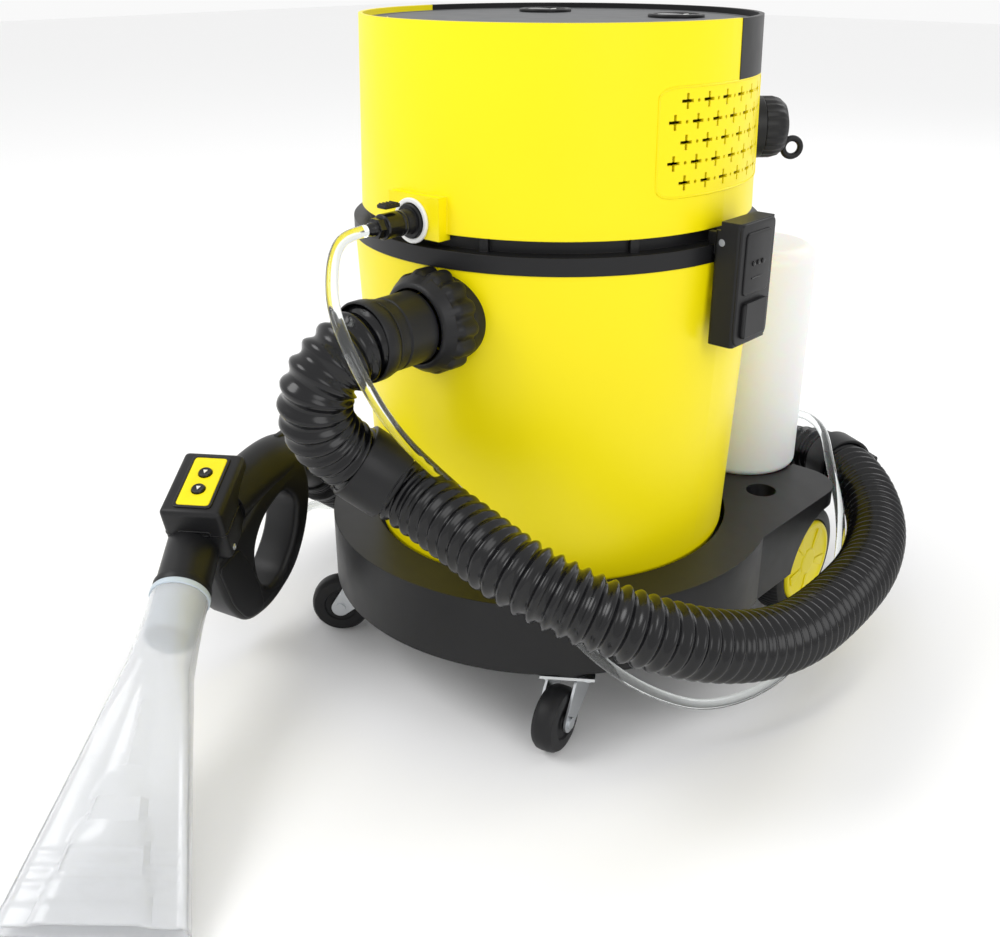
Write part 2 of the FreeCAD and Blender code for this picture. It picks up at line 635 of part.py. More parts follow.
# ---------------------------------------------------------------- insides
def make_insides():
    motor = cylinder("motor_can", "46", "70", z="ring_top+22")
    fan_case = cylinder("fan_case", "62", "22", z="ring_top")
    shaft_room = cylinder("shaft_room", "5.06", "80", z="ring_top-5")
    fan_room = cylinder("fan_room", "56", "15", z="ring_top+3")
    eye = cylinder("fan_eye", "24", "10", z="ring_top-5")
    named(cut("vacuum_motor", join("motor_body", [motor, fan_case]),
              join("motor_rooms", [shaft_room, fan_room, eye])), "vacuum_motor")
    shaft = cylinder("fan_shaft", "5", "60", z="ring_top+4")
    wheel = cylinder("fan_wheel", "52", "10", z="ring_top+5")
    named(join("motor_fan", [shaft, wheel]), "motor_fan")

    cage_out = cylinder("cage_out", "36", "60", z="ring_top-63")
    cage_in = cylinder("cage_in", "33.5", "58", z="ring_top-61")
    windows = [box("cage_window_a", "90", "24", "36", "-45", "-12", "ring_top-52"),
               box("cage_window_b", "24", "90", "36", "-12", "-45", "ring_top-52")]
    named(cut("float_cage", cage_out, join("cage_tools", [cage_in] + windows)), "float_cage")
    ball = doc.addObject("Part::Sphere", "float_ball")
    bind(ball, Radius="22", Placement__Base__z="ring_top-38.7")
    named(ball, "float_ball")

    foam_out = cylinder("foam_out", "48", "56", z="ring_top-59")
    foam_in = cylinder("foam_in", "36.4", "60", z="ring_top-61")
    named(cut("filter_foam", foam_out, foam_in), "filter_foam")

    named(box("water_pump", "60", "40", "34", "-30", "82", "ring_top"), "water_pump")


def make_can():
    ends = [cylinder("can_end_" + side, "can_end", "can_height", sign + "*can_centre_side",
                     "can_centre_back", "deck_top-2") for side, sign in (("right", "1"), ("left", "-1"))]
    middle = box("can_middle", "can_centre_side*2", "can_end*2", "can_height", "-can_centre_side",
                 "can_centre_back-can_end", "deck_top-2")
    block = join("can_block", ends + [middle])
    tank_room = cylinder("can_tank_room", "can_clear", "300", z="deck_top-20")
    shaped = cut("can_outside", block, tank_room)
    inner_ends = [cylinder("can_room_" + side, "can_end-2", "can_height-4", sign + "*can_centre_side",
                           "can_centre_back", "deck_top") for side, sign in (("right", "1"), ("left", "-1"))]
    inner_middle = box("can_room_middle", "can_centre_side*2", "can_end*2-4", "can_height-4",
                       "-can_centre_side", "can_centre_back-can_end+2", "deck_top")
    inner_tank = cylinder("can_inner_tank", "can_clear+2", "300", z="deck_top-20")
    inside = cut("can_inside", join("can_rooms", inner_ends + [inner_middle]), inner_tank)
    neck = cylinder("can_neck", "17", "8", "0", "can_centre_back+8", "deck_top+can_height-2.5")
    mouth = cylinder("can_mouth", "15", "20", "0", "can_centre_back+8", "deck_top+can_height-12")
    under = box("can_under", "300", "120", "2.6", "-150", "can_centre_back-60", "deck_top-2.3")
    seats = join("can_seats", [cylinder("can_seat_" + side, "can_end+0.2", "10", sign + "*can_centre_side",
                                        "can_centre_back", "deck_top-5")
                               for side, sign in (("right", "1"), ("left", "-1"))])
    trim = cut("can_trim", under, seats)
    named(cut("water_can", join("can_and_neck", [shaped, neck]),
              join("can_tools", [inside, mouth, trim])), "water_can")
    lid = cylinder("lid_top", "21", "10", "0", "can_centre_back+8", "deck_top+can_height-1.8")
    room = cylinder("lid_room", "17.08", "8.3", "0", "can_centre_back+8", "deck_top+can_height-2.5")
    named(cut("can_lid", lid, room), "can_lid")


# ---------------------------------------------------------------- hand tool
NECK = Vector(-124, -282, 101)
NOZZLE_PLACE = Placement(NECK, Rotation(-49.5, 20.9, 0))
GRIP_ORIGIN = Vector(-150.8, -250.6, 118.9)
BOX_PLACE = Placement(GRIP_ORIGIN, Rotation(-55.6, 19.2, 0))
GRIP_PLACE = Placement(GRIP_ORIGIN, Rotation(-78.0, 19.0, 0))
HOSE_END = Vector(-205, -74, 104)
CUFF_LENGTH = 26.0
ELBOW_ROUTE = [Vector(-159.1, -211.5, 141.2), Vector(-170, -160.6, 159.1), Vector(-186, -118, 142), HOSE_END]


def corner_wire(x, half_width, half_height, corner, drop=0.0):
    """A rounded rectangle across the local X axis."""
    corner = min(corner, half_width - 0.1, half_height - 0.1)
    lines = []
    a, b, diagonal = half_width - corner, half_height - corner, corner * math.sqrt(0.5)
    corners = ((1, 1), (-1, 1), (-1, -1), (1, -1))
    for number, (sy, sz) in enumerate(corners):
        ends = [Vector(x, sy * half_width, sz * b + drop), Vector(x, sy * a, sz * half_height + drop)]
        middle = Vector(x, sy * (a + diagonal), sz * (b + diagonal) + drop)
        if number % 2:
            ends.reverse()
        lines.append((ends[0], middle, ends[1]))
    edges = []
    for number, (start, middle, end) in enumerate(lines):
        edges.append(Part.Arc(start, middle, end).toShape())
        edges.append(Part.LineSegment(end, lines[(number + 1) % 4][0]).toShape())
    return Part.Wire(edges)


def path_wire(points, print_as=None):
    """Straight runs joined by tangent arcs of 0.45 of the shorter run."""
    edges, start, radii = [], points[0], []
    for before, here, after in zip(points, points[1:], points[2:]):
        run_in, run_out = here - before, after - here
        trim = 0.45 * min(run_in.Length, run_out.Length)
        turn = run_in.getAngle(run_out)
        radii.append(trim / math.tan(turn / 2))
        way_in, way_out = Vector(run_in).normalize(), Vector(run_out).normalize()
        first, last = here - way_in * trim, here + way_out * trim
        inward = (way_out - way_in).normalize()
        sagitta = radii[-1] * (1 / math.cos(turn / 2) - 1)
        edges.append(Part.LineSegment(start, first).toShape())
        edges.append(Part.Arc(first, here + inward * sagitta, last).toShape())
        start = last
    edges.append(Part.LineSegment(start, points[-1]).toShape())
    if print_as:
        print(print_as, "radii", [round(r) for r in radii])
    return Part.Wire(edges)


def tube_along(points, radius, print_as=None):
    """A solid tube of a radius along a path, with its volume compared."""
    path = path_wire(points, print_as)
    circle = Part.Wire(Part.Circle(points[0], points[1] - points[0], radius).toShape())
    tube = path.makePipeShell([circle], True, False)
    expected = math.pi * radius ** 2 * path.Length
    if abs(tube.Volume / expected - 1) > 0.01:
        raise RuntimeError("tube volume %.0f, expected %.0f" % (tube.Volume, expected))
    if print_as:
        print(print_as, "length", round(path.Length))
    return tube


def make_nozzle():
    def fan(stations, wall):
        wires = [corner_wire(x, w - wall, h - wall, max(c - wall, 1.5), z) for x, w, h, c, z in stations]
        return Part.makeLoft(wires, True, True)

    outside = fan(((30, 22.2, 22.2, 22.1, 0), (70, 23.5, 20, 19, 0), (140, 37, 13, 9, -1),
                   (252, 59, 8.5, 3.5, -3)), 0)
    inside = fan(((30, 21, 21, 20.9, 0), (70, 23.5, 20, 19, 0), (140, 37, 13, 9, -1),
                  (256, 59.8, 8.4, 3.5, -3)), 2)
    neck = Part.makeCylinder(21.5, 34, Vector(0, 0, 0), Vector(1, 0, 0))
    neck_room = Part.makeCylinder(18.6, 42, Vector(-1, 0, 0), Vector(1, 0, 0))
    nozzle = neck.fuse(outside).cut(inside).cut(neck_room)
    named(solid("nozzle", largest(nozzle), NOZZLE_PLACE), "clear_nozzle")


def make_tool():
    def in_frame(shape, place):
        return shape.transformed(place.toMatrix())

    pipe_out = Part.makeCylinder(20.5, 55, Vector(-55.4, 0, 0), Vector(1, 0, 0))
    spigot = Part.makeCylinder(18.5, 40, Vector(-0.4, 0, 0), Vector(1, 0, 0))
    pipe_in = Part.makeCylinder(16, 120, Vector(-60, 0, 0), Vector(1, 0, 0))
    pipe = pipe_out.fuse(spigot).cut(pipe_in).removeSplitter()
    named(solid("tool_pipe", pipe, NOZZLE_PLACE), "tool_pipe")
    pipe_room = in_frame(Part.makeCylinder(20.5, 60, Vector(-55.4, 0, 0), Vector(1, 0, 0)), NOZZLE_PLACE)

    housing = Part.makeBox(68, 49, 50, Vector(-68, -19.2, -12))
    upright = [e for e in housing.Edges if abs(e.tangentAt(0).z) > 0.9]
    housing = housing.makeFillet(5, upright)
    top = [e for e in housing.Edges if e.BoundBox.ZMin > 37.9]
    housing = housing.makeChamfer(4, top)
    cavity = Part.makeBox(60, 41, 42, Vector(-64, -15.2, -8))
    board = Part.makeBox(44, 30, 1.6, Vector(-56, -9.7, 26))
    stems = [Part.makeCylinder(5.3, 12, Vector(x, 5.5, 32)) for x in (-25, -43)]
    route_end = ELBOW_ROUTE[-1] - (ELBOW_ROUTE[-1] - ELBOW_ROUTE[-2]).normalize() * CUFF_LENGTH
    route = ELBOW_ROUTE[:-1] + [route_end]
    elbow_solid = tube_along(route, 19.5)
    elbow_hole = tube_along(route, 16)
    outer_box = in_frame(housing, BOX_PLACE)
    casing = housing.cut(cavity)
    for stem in stems:
        casing = casing.cut(stem)
    casing = in_frame(casing, BOX_PLACE).cut(pipe_room).cut(elbow_solid)
    named(solid("tool_box", largest(casing)), "tool_box")
    named(solid("tool_board", in_frame(board, BOX_PLACE)), "tool_board")

    label = Part.makeBox(52, 26, 1.2, Vector(-60, -7.5, 38))
    for stem in stems:
        label = label.cut(stem)
    named(solid("tool_label", label, BOX_PLACE), "tool_label")
    for x, node in ((-25, "button_suction"), (-43, "button_spray")):
        cap = Part.makeCylinder(5.23, 9, Vector(x, 5.5, 32.2))
        named(solid(node, cap, BOX_PLACE), node)

    grip_points = [(2, -16), (3, -60), (-3, -79), (-30, -95), (-62, -92), (-94, -78), (-118, -50),
                   (-126, -22), (-118, 4), (-100, 10), (-70, 0), (-40, -14)]
    hole_points = [(-92, -16), (-103, -38), (-90, -62), (-62, -77), (-36, -78), (-28, -62), (-40, -38),
                   (-62, -22)]

    def outline(points):
        vectors = [Vector(u, -13, w) for u, w in points]
        return Part.Face(Part.makePolygon(vectors + vectors[:1])).extrude(Vector(0, 26, 0))
    grip = outline(grip_points).cut(outline(hole_points))
    grip = in_frame(grip, GRIP_PLACE).cut(elbow_solid).cut(outer_box).cut(pipe_room)
    named(solid("tool_handle", largest(grip)), "tool_handle")
    elbow = elbow_solid.cut(elbow_hole).cut(outer_box)
    named(solid("tool_elbow", largest(elbow)), "tool_elbow")

    way = (HOSE_END - route_end).normalize()
    sleeve = Part.makeCylinder(21.5, CUFF_LENGTH, route_end, way)
    lip = Part.makeCylinder(25.5, 8, HOSE_END - way * 8, way)
    bore = Part.makeCylinder(17, 60, route_end - way * 10, way)
    named(solid("tool_cuff", sleeve.fuse(lip).cut(bore).removeSplitter()), "tool_cuff")


def largest(shape):
    """The largest solid of a shape."""
    return max(shape.Solids, key=lambda piece: piece.Volume)


# ---------------------------------------------------------------- hose and solution tube
HOSE_ROUTE = [
    (24, -207, 315), (24, -223, 315), (20, -241, 307), (11, -252, 290), (1, -250, 269), (-8, -238, 248),
    (-6, -218, 229), (14, -204, 213), (44, -199, 203), (90, -203, 197), (146, -206, 185), (206, -176, 160),
    (240, -120, 132), (251, -45, 108), (246, 40, 98), (234, 120, 92), (205, 196, 92), (160, 250, 102),
    (100, 286, 100), (20, 300, 72), (-70, 300, 38), (-152, 268, 25), (-212, 192, 25), (-234, 102, 26),
    (-235, 20, 38), (-222.1, -34.4, 69.8), (-205, -74, 104)]
TUBE_ROUTE = [
    (0, -192, 377), (0, -207, 377), (4, -221, 371), (13, -233, 358), (26, -244, 342), (45, -251, 324),
    (56, -246, 296), (55, -225, 264), (52, -190, 236), (66, -161, 206), (98, -152, 170), (124, -146, 124),
    (148, -126, 86), (172, -96, 54), (198, -58, 32), (220, -8, 34), (224, 50, 46), (212, 100, 60),
    (195, 150, 72), (172, 192, 92), (142, 224, 118), (114, 262, 136), (60, 308, 124), (0, 334, 84),
    (-80, 336, 34), (-170, 300, 7), (-244, 212, 5), (-267, 116, 7), (-268, 32, 16), (-254, -30, 40),
    (-234, -66, 62), (-205, -110, 76), (-180, -136, 84)]

CLIP_WALL = 2.6


def make_cords():
    hose = tube_along([Vector(*p) for p in HOSE_ROUTE], size("hose_radius"), "hose")
    named(solid("suction_hose", hose), "suction_hose")
    tube = tube_along([Vector(*p) for p in TUBE_ROUTE], size("tube_radius"), "tube")
    named(solid("solution_tube", tube), "solution_tube")
    for node, before, after, width, side in (("hose_clip_front", 6, 7, 22, Vector(-1, -0.2, -0.35)),
                                             ("hose_clip_rear", 17, 18, 26, Vector(0.75, 0.6, -0.1))):
        start, end = Vector(*HOSE_ROUTE[before]), Vector(*HOSE_ROUTE[after])
        way = (end - start).normalize()
        middle = (start + end) * 0.5
        band = Part.makeCylinder(size("hose_radius") + CLIP_WALL, width, middle - way * (width / 2), way)
        side = (side - way * side.dot(way)).normalize()
        buckle = Part.makeBox(width, 20, 12, Vector(-width / 2, -10, size("hose_radius") - 2))
        turn = Rotation(way, side.cross(way), side, "XZY")
        buckle = buckle.transformed(Placement(middle, turn).toMatrix())
        named(solid(node, largest(band.fuse(buckle).cut(hose).cut(tube))), node)


# ---------------------------------------------------------------- the whole machine
make_base()
make_rear_wheels()
screws = make_caster("right", 1) + make_caster("left", -1)
named(solid("caster_screws_group", Part.makeCompound(screws)), "caster_screws")
make_tank()
make_inlet()
make_ring()
make_head()
make_head_fittings()
make_latches()
make_coupler()
make_insides()
make_can()
make_nozzle()
make_tool()
make_cords()
doc.recompute()

for obj in doc.Objects:
    if "Invalid" in obj.State or "Error" in obj.State:
        raise RuntimeError("%s is %s" % (obj.Name, obj.State))
os.makedirs("parts", exist_ok=True)
for obj in PARTS:
    if obj.Shape.isNull() or not obj.Shape.isValid() or not obj.Shape.Solids:
        raise RuntimeError("%s has no valid shape" % obj.Label)
for obj in PARTS:
    obj.Shape.exportStep("parts/%s.step" % obj.Label)
print(len(PARTS), "nodes;", ", ".join("%s %d" % (o.Label, len(o.Shape.Solids)) for o in PARTS))
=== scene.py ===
"""Looks of the spot extractor: materials, detailed meshes, cords, floor, light and camera.

Lengths in this script are millimetres unless a name says metres; MM turns them into Blender's metres.
"""
import json
import math

import bmesh
import bpy
from mathutils import Matrix, Vector


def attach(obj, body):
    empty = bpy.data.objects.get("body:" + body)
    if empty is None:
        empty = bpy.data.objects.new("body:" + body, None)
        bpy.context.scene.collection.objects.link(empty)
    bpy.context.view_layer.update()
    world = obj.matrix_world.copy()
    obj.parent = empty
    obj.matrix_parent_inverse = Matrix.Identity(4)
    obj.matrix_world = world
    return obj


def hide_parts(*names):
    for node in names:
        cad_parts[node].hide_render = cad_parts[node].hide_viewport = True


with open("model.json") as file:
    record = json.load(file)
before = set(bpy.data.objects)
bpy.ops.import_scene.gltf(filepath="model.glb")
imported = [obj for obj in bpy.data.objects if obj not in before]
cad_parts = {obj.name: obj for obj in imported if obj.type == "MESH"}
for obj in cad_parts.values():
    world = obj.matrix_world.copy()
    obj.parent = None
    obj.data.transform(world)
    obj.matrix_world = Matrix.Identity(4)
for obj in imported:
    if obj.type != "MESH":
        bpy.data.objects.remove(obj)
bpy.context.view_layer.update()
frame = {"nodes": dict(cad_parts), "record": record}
NODES = frame["nodes"]
MM = 0.001
MACHINE = "machine"

# ---------------------------------------------------------------- camera
CAMERA_PLACE = Vector((545.99, -678.13, 540.83)) * MM
CAMERA_HEADING = math.radians(41.6)
CAMERA_PITCH = math.radians(24.4)
LENS = 41.35
SENSOR_WIDTH = 36.0

camera_data = bpy.data.cameras.new("camera")
camera_data.lens = LENS
camera_data.sensor_width = SENSOR_WIDTH
camera_data.clip_start = 0.01
camera = bpy.data.objects.new("camera", camera_data)
bpy.context.scene.collection.objects.link(camera)
camera.location = CAMERA_PLACE
camera.rotation_euler = (math.radians(90) - CAMERA_PITCH, 0, CAMERA_HEADING)
bpy.context.scene.camera = camera
bpy.context.scene.view_settings.view_transform = "Standard"


# ---------------------------------------------------------------- materials
def new_material(name):
    """A new material; returns it, its nodes and links, and its Principled shader."""
    material = bpy.data.materials.new("look_" + name)
    material.use_nodes = True
    tree = material.node_tree
    return material, tree.nodes, tree.links, tree.nodes["Principled BSDF"]


def noise_of(nodes, links, scale, detail=3.0):
    """Noise in the object's own coordinates; scale is in features per metre."""
    place = nodes.new("ShaderNodeTexCoord")
    noise = nodes.new("ShaderNodeTexNoise")
    noise.inputs["Scale"].default_value = scale
    noise.inputs["Detail"].default_value = detail
    links.new(place.outputs["Object"], noise.inputs["Vector"])
    return noise


def moulded(name, colour, roughness, grain=1800.0, depth=0.02, soft_edge=0.7, tint=0.94, **shader):
    """Moulded plastic or rubber: slight colour variation, a fine surface grain and soft edges."""
    material, nodes, links, principled = new_material(name)
    broad = noise_of(nodes, links, 14.0, 4.0)
    mix = nodes.new("ShaderNodeMix")
    mix.data_type = "RGBA"
    mix.inputs["A"].default_value = (*[c * tint for c in colour], 1)
    mix.inputs["B"].default_value = (*colour, 1)
    links.new(broad.outputs["Fac"], mix.inputs["Factor"])
    links.new(mix.outputs["Result"], principled.inputs["Base Color"])
    wear = noise_of(nodes, links, 60.0, 6.0)
    spread = nodes.new("ShaderNodeMapRange")
    spread.inputs["To Min"].default_value = roughness - 0.05
    spread.inputs["To Max"].default_value = roughness + 0.07
    links.new(wear.outputs["Fac"], spread.inputs["Value"])
    links.new(spread.outputs["Result"], principled.inputs["Roughness"])
    fine = noise_of(nodes, links, grain, 2.0)
    bump = nodes.new("ShaderNodeBump")
    bump.inputs["Strength"].default_value = 0.35
    bump.inputs["Distance"].default_value = depth * MM
    links.new(fine.outputs["Fac"], bump.inputs["Height"])
    if soft_edge:
        bevel = nodes.new("ShaderNodeBevel")
        bevel.samples = 4
        bevel.inputs["Radius"].default_value = soft_edge * MM
        links.new(bevel.outputs["Normal"], bump.inputs["Normal"])
    links.new(bump.outputs["Normal"], principled.inputs["Normal"])
    for socket, number in shader.items():
        principled.inputs[socket.replace("_", " ")].default_value = number
    return material


def clear(name, colour, roughness, grain=160.0, depth=0.3, share=1.0, index=1.46):
    """Clear moulded plastic with the faint ripples of a thin moulding."""
    material, nodes, links, principled = new_material(name)
    principled.inputs["Base Color"].default_value = (*colour, 1)
    principled.inputs["Roughness"].default_value = roughness
    principled.inputs["IOR"].default_value = index
    principled.inputs["Transmission Weight"].default_value = share
    ripple = noise_of(nodes, links, grain, 2.0)
    bump = nodes.new("ShaderNodeBump")
    bump.inputs["Strength"].default_value = 0.25
    bump.inputs["Distance"].default_value = depth * MM
    links.new(ripple.outputs["Fac"], bump.inputs["Height"])
    links.new(bump.outputs["Normal"], principled.inputs["Normal"])
    return material


def metal(name, colour, roughness):
    """Plated or cast metal."""
    return moulded(name, colour, roughness, 900.0, 0.03, 0.4, 0.88, Metallic=1.0)


YELLOW = moulded("yellow_shell", (0.92, 0.77, 0.0), 0.36, 2200.0, 0.012, 0.9, 0.97,
                 Specular_IOR_Level=0.32)
BLACK = moulded("black_plastic", (0.008, 0.008, 0.009), 0.4, 1700.0, 0.03, 0.8, 0.8,
                Specular_IOR_Level=0.3)
GLOSS_BLACK = moulded("gloss_black", (0.006, 0.006, 0.007), 0.22, 900.0, 0.012, 0.8, 0.85,
                      Specular_IOR_Level=0.4)
GREY = moulded("grey_plastic", (0.075, 0.078, 0.082), 0.5, 1500.0, 0.05, 0.6, 0.85)
HOSE = moulded("hose_black", (0.004, 0.004, 0.005), 0.2, 700.0, 0.03, 0, 0.8, Specular_IOR_Level=0.36)
RUBBER = moulded("black_rubber", (0.009, 0.009, 0.010), 0.5, 1300.0, 0.05, 0.8, 0.8,
                 Specular_IOR_Level=0.3)
MILKY = moulded("milky_plastic", (0.80, 0.81, 0.79), 0.38, 500.0, 0.05, 0, 0.98,
                Subsurface_Weight=0.6, Subsurface_Scale=0.02)
WHITE = moulded("white_plastic", (0.82, 0.82, 0.80), 0.3, 900.0, 0.02, 0.4, 0.97)
ZINC = metal("zinc_steel", (0.62, 0.64, 0.66), 0.3)
ALUMINIUM = metal("motor_metal", (0.66, 0.67, 0.69), 0.42)
FOAM = moulded("foam_grey", (0.05, 0.05, 0.055), 0.95, 500.0, 0.8, 0, 0.6)
BOARD = moulded("board_green", (0.02, 0.14, 0.05), 0.35, 900.0, 0.02, 0.3, 0.9)
CLEAR = clear("clear_plastic", (0.96, 0.97, 0.985), 0.1, share=0.72, index=1.33)
FROSTED = moulded("frosted_blue", (0.74, 0.84, 0.93), 0.35, 600.0, 0.03, 0, 0.97,
                  Transmission_Weight=0.35)
TUBE = clear("clear_tube", (0.93, 0.96, 0.95), 0.08, 300.0, 0.1)

SLOT_MATERIAL = {
    "yellow_shell": YELLOW, "black_plastic": BLACK, "grey_plastic": GREY, "milky_plastic": MILKY,
    "white_plastic": WHITE, "clear_plastic": CLEAR, "hose_black": HOSE, "black_rubber": RUBBER,
    "zinc_steel": ZINC, "motor_metal": ALUMINIUM, "foam_grey": FOAM, "board_green": BOARD}
SHARP = math.radians(32)


def smooth(mesh, angle=SHARP):
    """Smooth shading, with a crease where faces meet more sharply than the angle."""
    mesh.polygons.foreach_set("use_smooth", [True] * len(mesh.polygons))
    mesh.set_sharp_from_angle(angle=angle)


def dress_cad():
    """Give every CAD node the material of its slot."""
    for part in frame["record"]["subparts"]:
        obj = NODES[part["node"]]
        obj.data.materials.clear()
        obj.data.materials.append(SLOT_MATERIAL[part["material_slot"]])
        smooth(obj.data)


# ---------------------------------------------------------------- mesh tools
def finish_piece(obj, material, body, replaces=None):
    """Put the material on, let it ride on its body and stand for its CAD node."""
    obj.data.materials.clear()
    obj.data.materials.append(material)
    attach(obj, body)
    if replaces:
        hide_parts(replaces)
    return obj


def mesh_piece(name, points, faces, material, body=MACHINE, replaces=None, place=None, angle=SHARP):
    """A mesh object from points in millimetres."""
    mesh = bpy.data.meshes.new(name)
    place = place or Matrix()
    mesh.from_pydata([(place @ Vector(p)) * MM for p in points], [], faces)
    check = bmesh.new()
    check.from_mesh(mesh)
    bmesh.ops.remove_doubles(check, verts=check.verts, dist=1e-6)
    bmesh.ops.recalc_face_normals(check, faces=check.faces)
    check.to_mesh(mesh)
    check.free()
    smooth(mesh, angle)
    obj = bpy.data.objects.new(name, mesh)
    bpy.context.scene.collection.objects.link(obj)
    return finish_piece(obj, material, body, replaces)


def at(x, y, z, axis=(0, 0, 1)):
    """A frame at a point, with its Z along an axis."""
    turn = Vector((0, 0, 1)).rotation_difference(Vector(axis)).to_matrix().to_4x4()
    return Matrix.Translation((x, y, z)) @ turn


def rounded(corners, radius, closed=True, steps=4):
    """Corners of a 2D outline, each cut back into a short arc; a corner may carry its own radius."""
    result = []
    count = len(corners)
    for index, corner in enumerate(corners):
        here = Vector(corner[:2])
        own = corner[2] if len(corner) > 2 else radius
        if own <= 0 or (not closed and index in (0, count - 1)):
            result.append(tuple(here))
            continue
        before, after = Vector(corners[index - 1][:2]), Vector(corners[(index + 1) % count][:2])
        reach = min(own, 0.45 * (before - here).length, 0.45 * (after - here).length)
        start = here + (before - here).normalized() * reach
        end = here + (after - here).normalized() * reach
        for step in range(steps + 1):
            t = step / steps
            result.append(tuple(start * (1 - t) ** 2 + here * 2 * t * (1 - t) + end * t * t))
    return result


def lathe(name, profile, place, material, body=MACHINE, replaces=None, turns=96, shape=None, closed=True,
          angle=SHARP):
    """Turn a (radius, along) profile about place's Z; shape(angle, radius, along) may move a point."""
    points = []
    for step in range(turns):
        around = 2 * math.pi * step / turns
        for radius, along in profile:
            r, z = shape(around, radius, along) if shape else (radius, along)
            points.append((r * math.cos(around), r * math.sin(around), z))
    rows = len(profile)
    faces = []
    for step in range(turns):
        for row in range(rows if closed else rows - 1):
            a, b = step * rows + row, step * rows + (row + 1) % rows
            c, d = ((step + 1) % turns) * rows + (row + 1) % rows, ((step + 1) % turns) * rows + row
            faces.append((a, b, c, d))
    return mesh_piece(name, points, faces, material, body, replaces, place, angle)


def block(name, low, high, radius, material, place=None, body=MACHINE, replaces=None, segments=3):
    """A box with rounded edges, between two corners of a local frame."""
    mesh = bpy.data.meshes.new(name)
    work = bmesh.new()
    size = [b - a for a, b in zip(low, high)]
    middle = Vector([(a + b) / 2 for a, b in zip(low, high)])
    bmesh.ops.create_cube(work, size=1.0)
    for vertex in work.verts:
        vertex.co = Vector([c * s for c, s in zip(vertex.co, size)]) + middle
    bmesh.ops.bevel(work, geom=work.edges[:], offset=radius, segments=segments, profile=0.5,
                    affect="EDGES")
    for vertex in work.verts:
        vertex.co = ((place or Matrix()) @ vertex.co) * MM
    work.to_mesh(mesh)
    work.free()
    smooth(mesh, math.radians(50))
    obj = bpy.data.objects.new(name, mesh)
    bpy.context.scene.collection.objects.link(obj)
    return finish_piece(obj, material, body, replaces)


def slab(name, loops, thickness, edge, material, place=None, body=MACHINE, replaces=None, steps=3):
    """A flat plate with rounded edges: the first loop is its outline and the others are holes."""
    curve = bpy.data.curves.new(name, "CURVE")
    curve.dimensions = "2D"
    curve.fill_mode = "BOTH"
    curve.extrude = (thickness / 2 - edge) * MM
    curve.bevel_depth = edge * MM
    curve.offset = -edge * MM
    curve.bevel_resolution = steps
    for loop in loops:
        spline = curve.splines.new("POLY")
        spline.points.add(len(loop) - 1)
        spline.use_cyclic_u = True
        for point, (x, y) in zip(spline.points, loop):
            point.co = (x * MM, y * MM, 0, 1)
    maker = bpy.data.objects.new(name + "_maker", curve)
    bpy.context.scene.collection.objects.link(maker)
    bpy.context.view_layer.update()
    mesh = bpy.data.meshes.new_from_object(maker)
    bpy.data.objects.remove(maker)
    move = (place or Matrix()).copy()
    move.translation = move.translation * MM
    mesh.transform(move)
    work = bmesh.new()
    work.from_mesh(mesh)
    bmesh.ops.remove_doubles(work, verts=work.verts, dist=2e-6)
    bmesh.ops.recalc_face_normals(work, faces=work.faces)
    work.to_mesh(mesh)
    work.free()
    mesh.name = name
    smooth(mesh, math.radians(40))
    obj = bpy.data.objects.new(name, mesh)
    bpy.context.scene.collection.objects.link(obj)
    return finish_piece(obj, material, body, replaces)


def smooth_loop(points, per_span=6):
    """A closed Catmull-Rom curve through 2D points."""
    result = []
    count = len(points)
    for index in range(count):
        a, b, c, d = (Vector(points[(index + k) % count]) for k in (-1, 0, 1, 2))
        for step in range(per_span):
            t = step / per_span
            result.append(tuple(0.5 * ((2 * b) + (c - a) * t + (2 * a - 5 * b + 4 * c - d) * t * t
                                       + (3 * b - a - 3 * c + d) * t ** 3)))
    return result


def rectangle(x0, x1, y0, y1, radius, steps=5):
    """The outline of a rectangle with rounded corners."""
    return rounded([(x0, y0), (x1, y0), (x1, y1), (x0, y1)], radius, True, steps)


# ---------------------------------------------------------------- cords
HOSE_ROUTE = [
    (24, -207, 315), (24, -223, 315), (22, -242, 308), (17, -254, 292), (12, -253, 270), (10, -240, 249),
    (15, -221, 231), (29, -207, 216), (54, -201, 205), (95, -203, 197), (146, -206, 185), (206, -176, 160),
    (240, -120, 132), (251, -45, 108), (246, 40, 98), (234, 120, 92), (205, 196, 92), (160, 250, 102),
    (100, 286, 100), (20, 300, 72), (-70, 300, 38), (-152, 268, 25), (-212, 192, 25), (-234, 102, 26),
    (-235, 20, 38), (-222.1, -34.4, 69.8), (-205, -74, 104)]
TUBE_ROUTE = [
    (0, -192, 377), (0, -207, 377), (4, -221, 371), (13, -233, 358), (26, -244, 342), (45, -251, 324),
    (60, -247, 296), (63, -228, 264), (62, -196, 229), (72, -168, 196), (98, -157, 160), (124, -146, 122),
    (148, -126, 86), (172, -96, 54), (198, -58, 32), (220, -8, 34), (224, 50, 46), (212, 100, 60),
    (195, 150, 72), (172, 192, 92), (142, 224, 118), (114, 262, 136), (60, 308, 124), (0, 334, 84),
    (-80, 336, 34), (-170, 300, 7), (-244, 212, 5), (-267, 116, 7), (-268, 32, 16), (-254, -30, 40),
    (-234, -66, 62), (-205, -110, 76), (-180, -136, 84)]
HOSE_DIAMETER = 48.0
TUBE_DIAMETER = 8.0
HOSE_PITCH = 9.6
GROOVE_DEPTH = 3.6


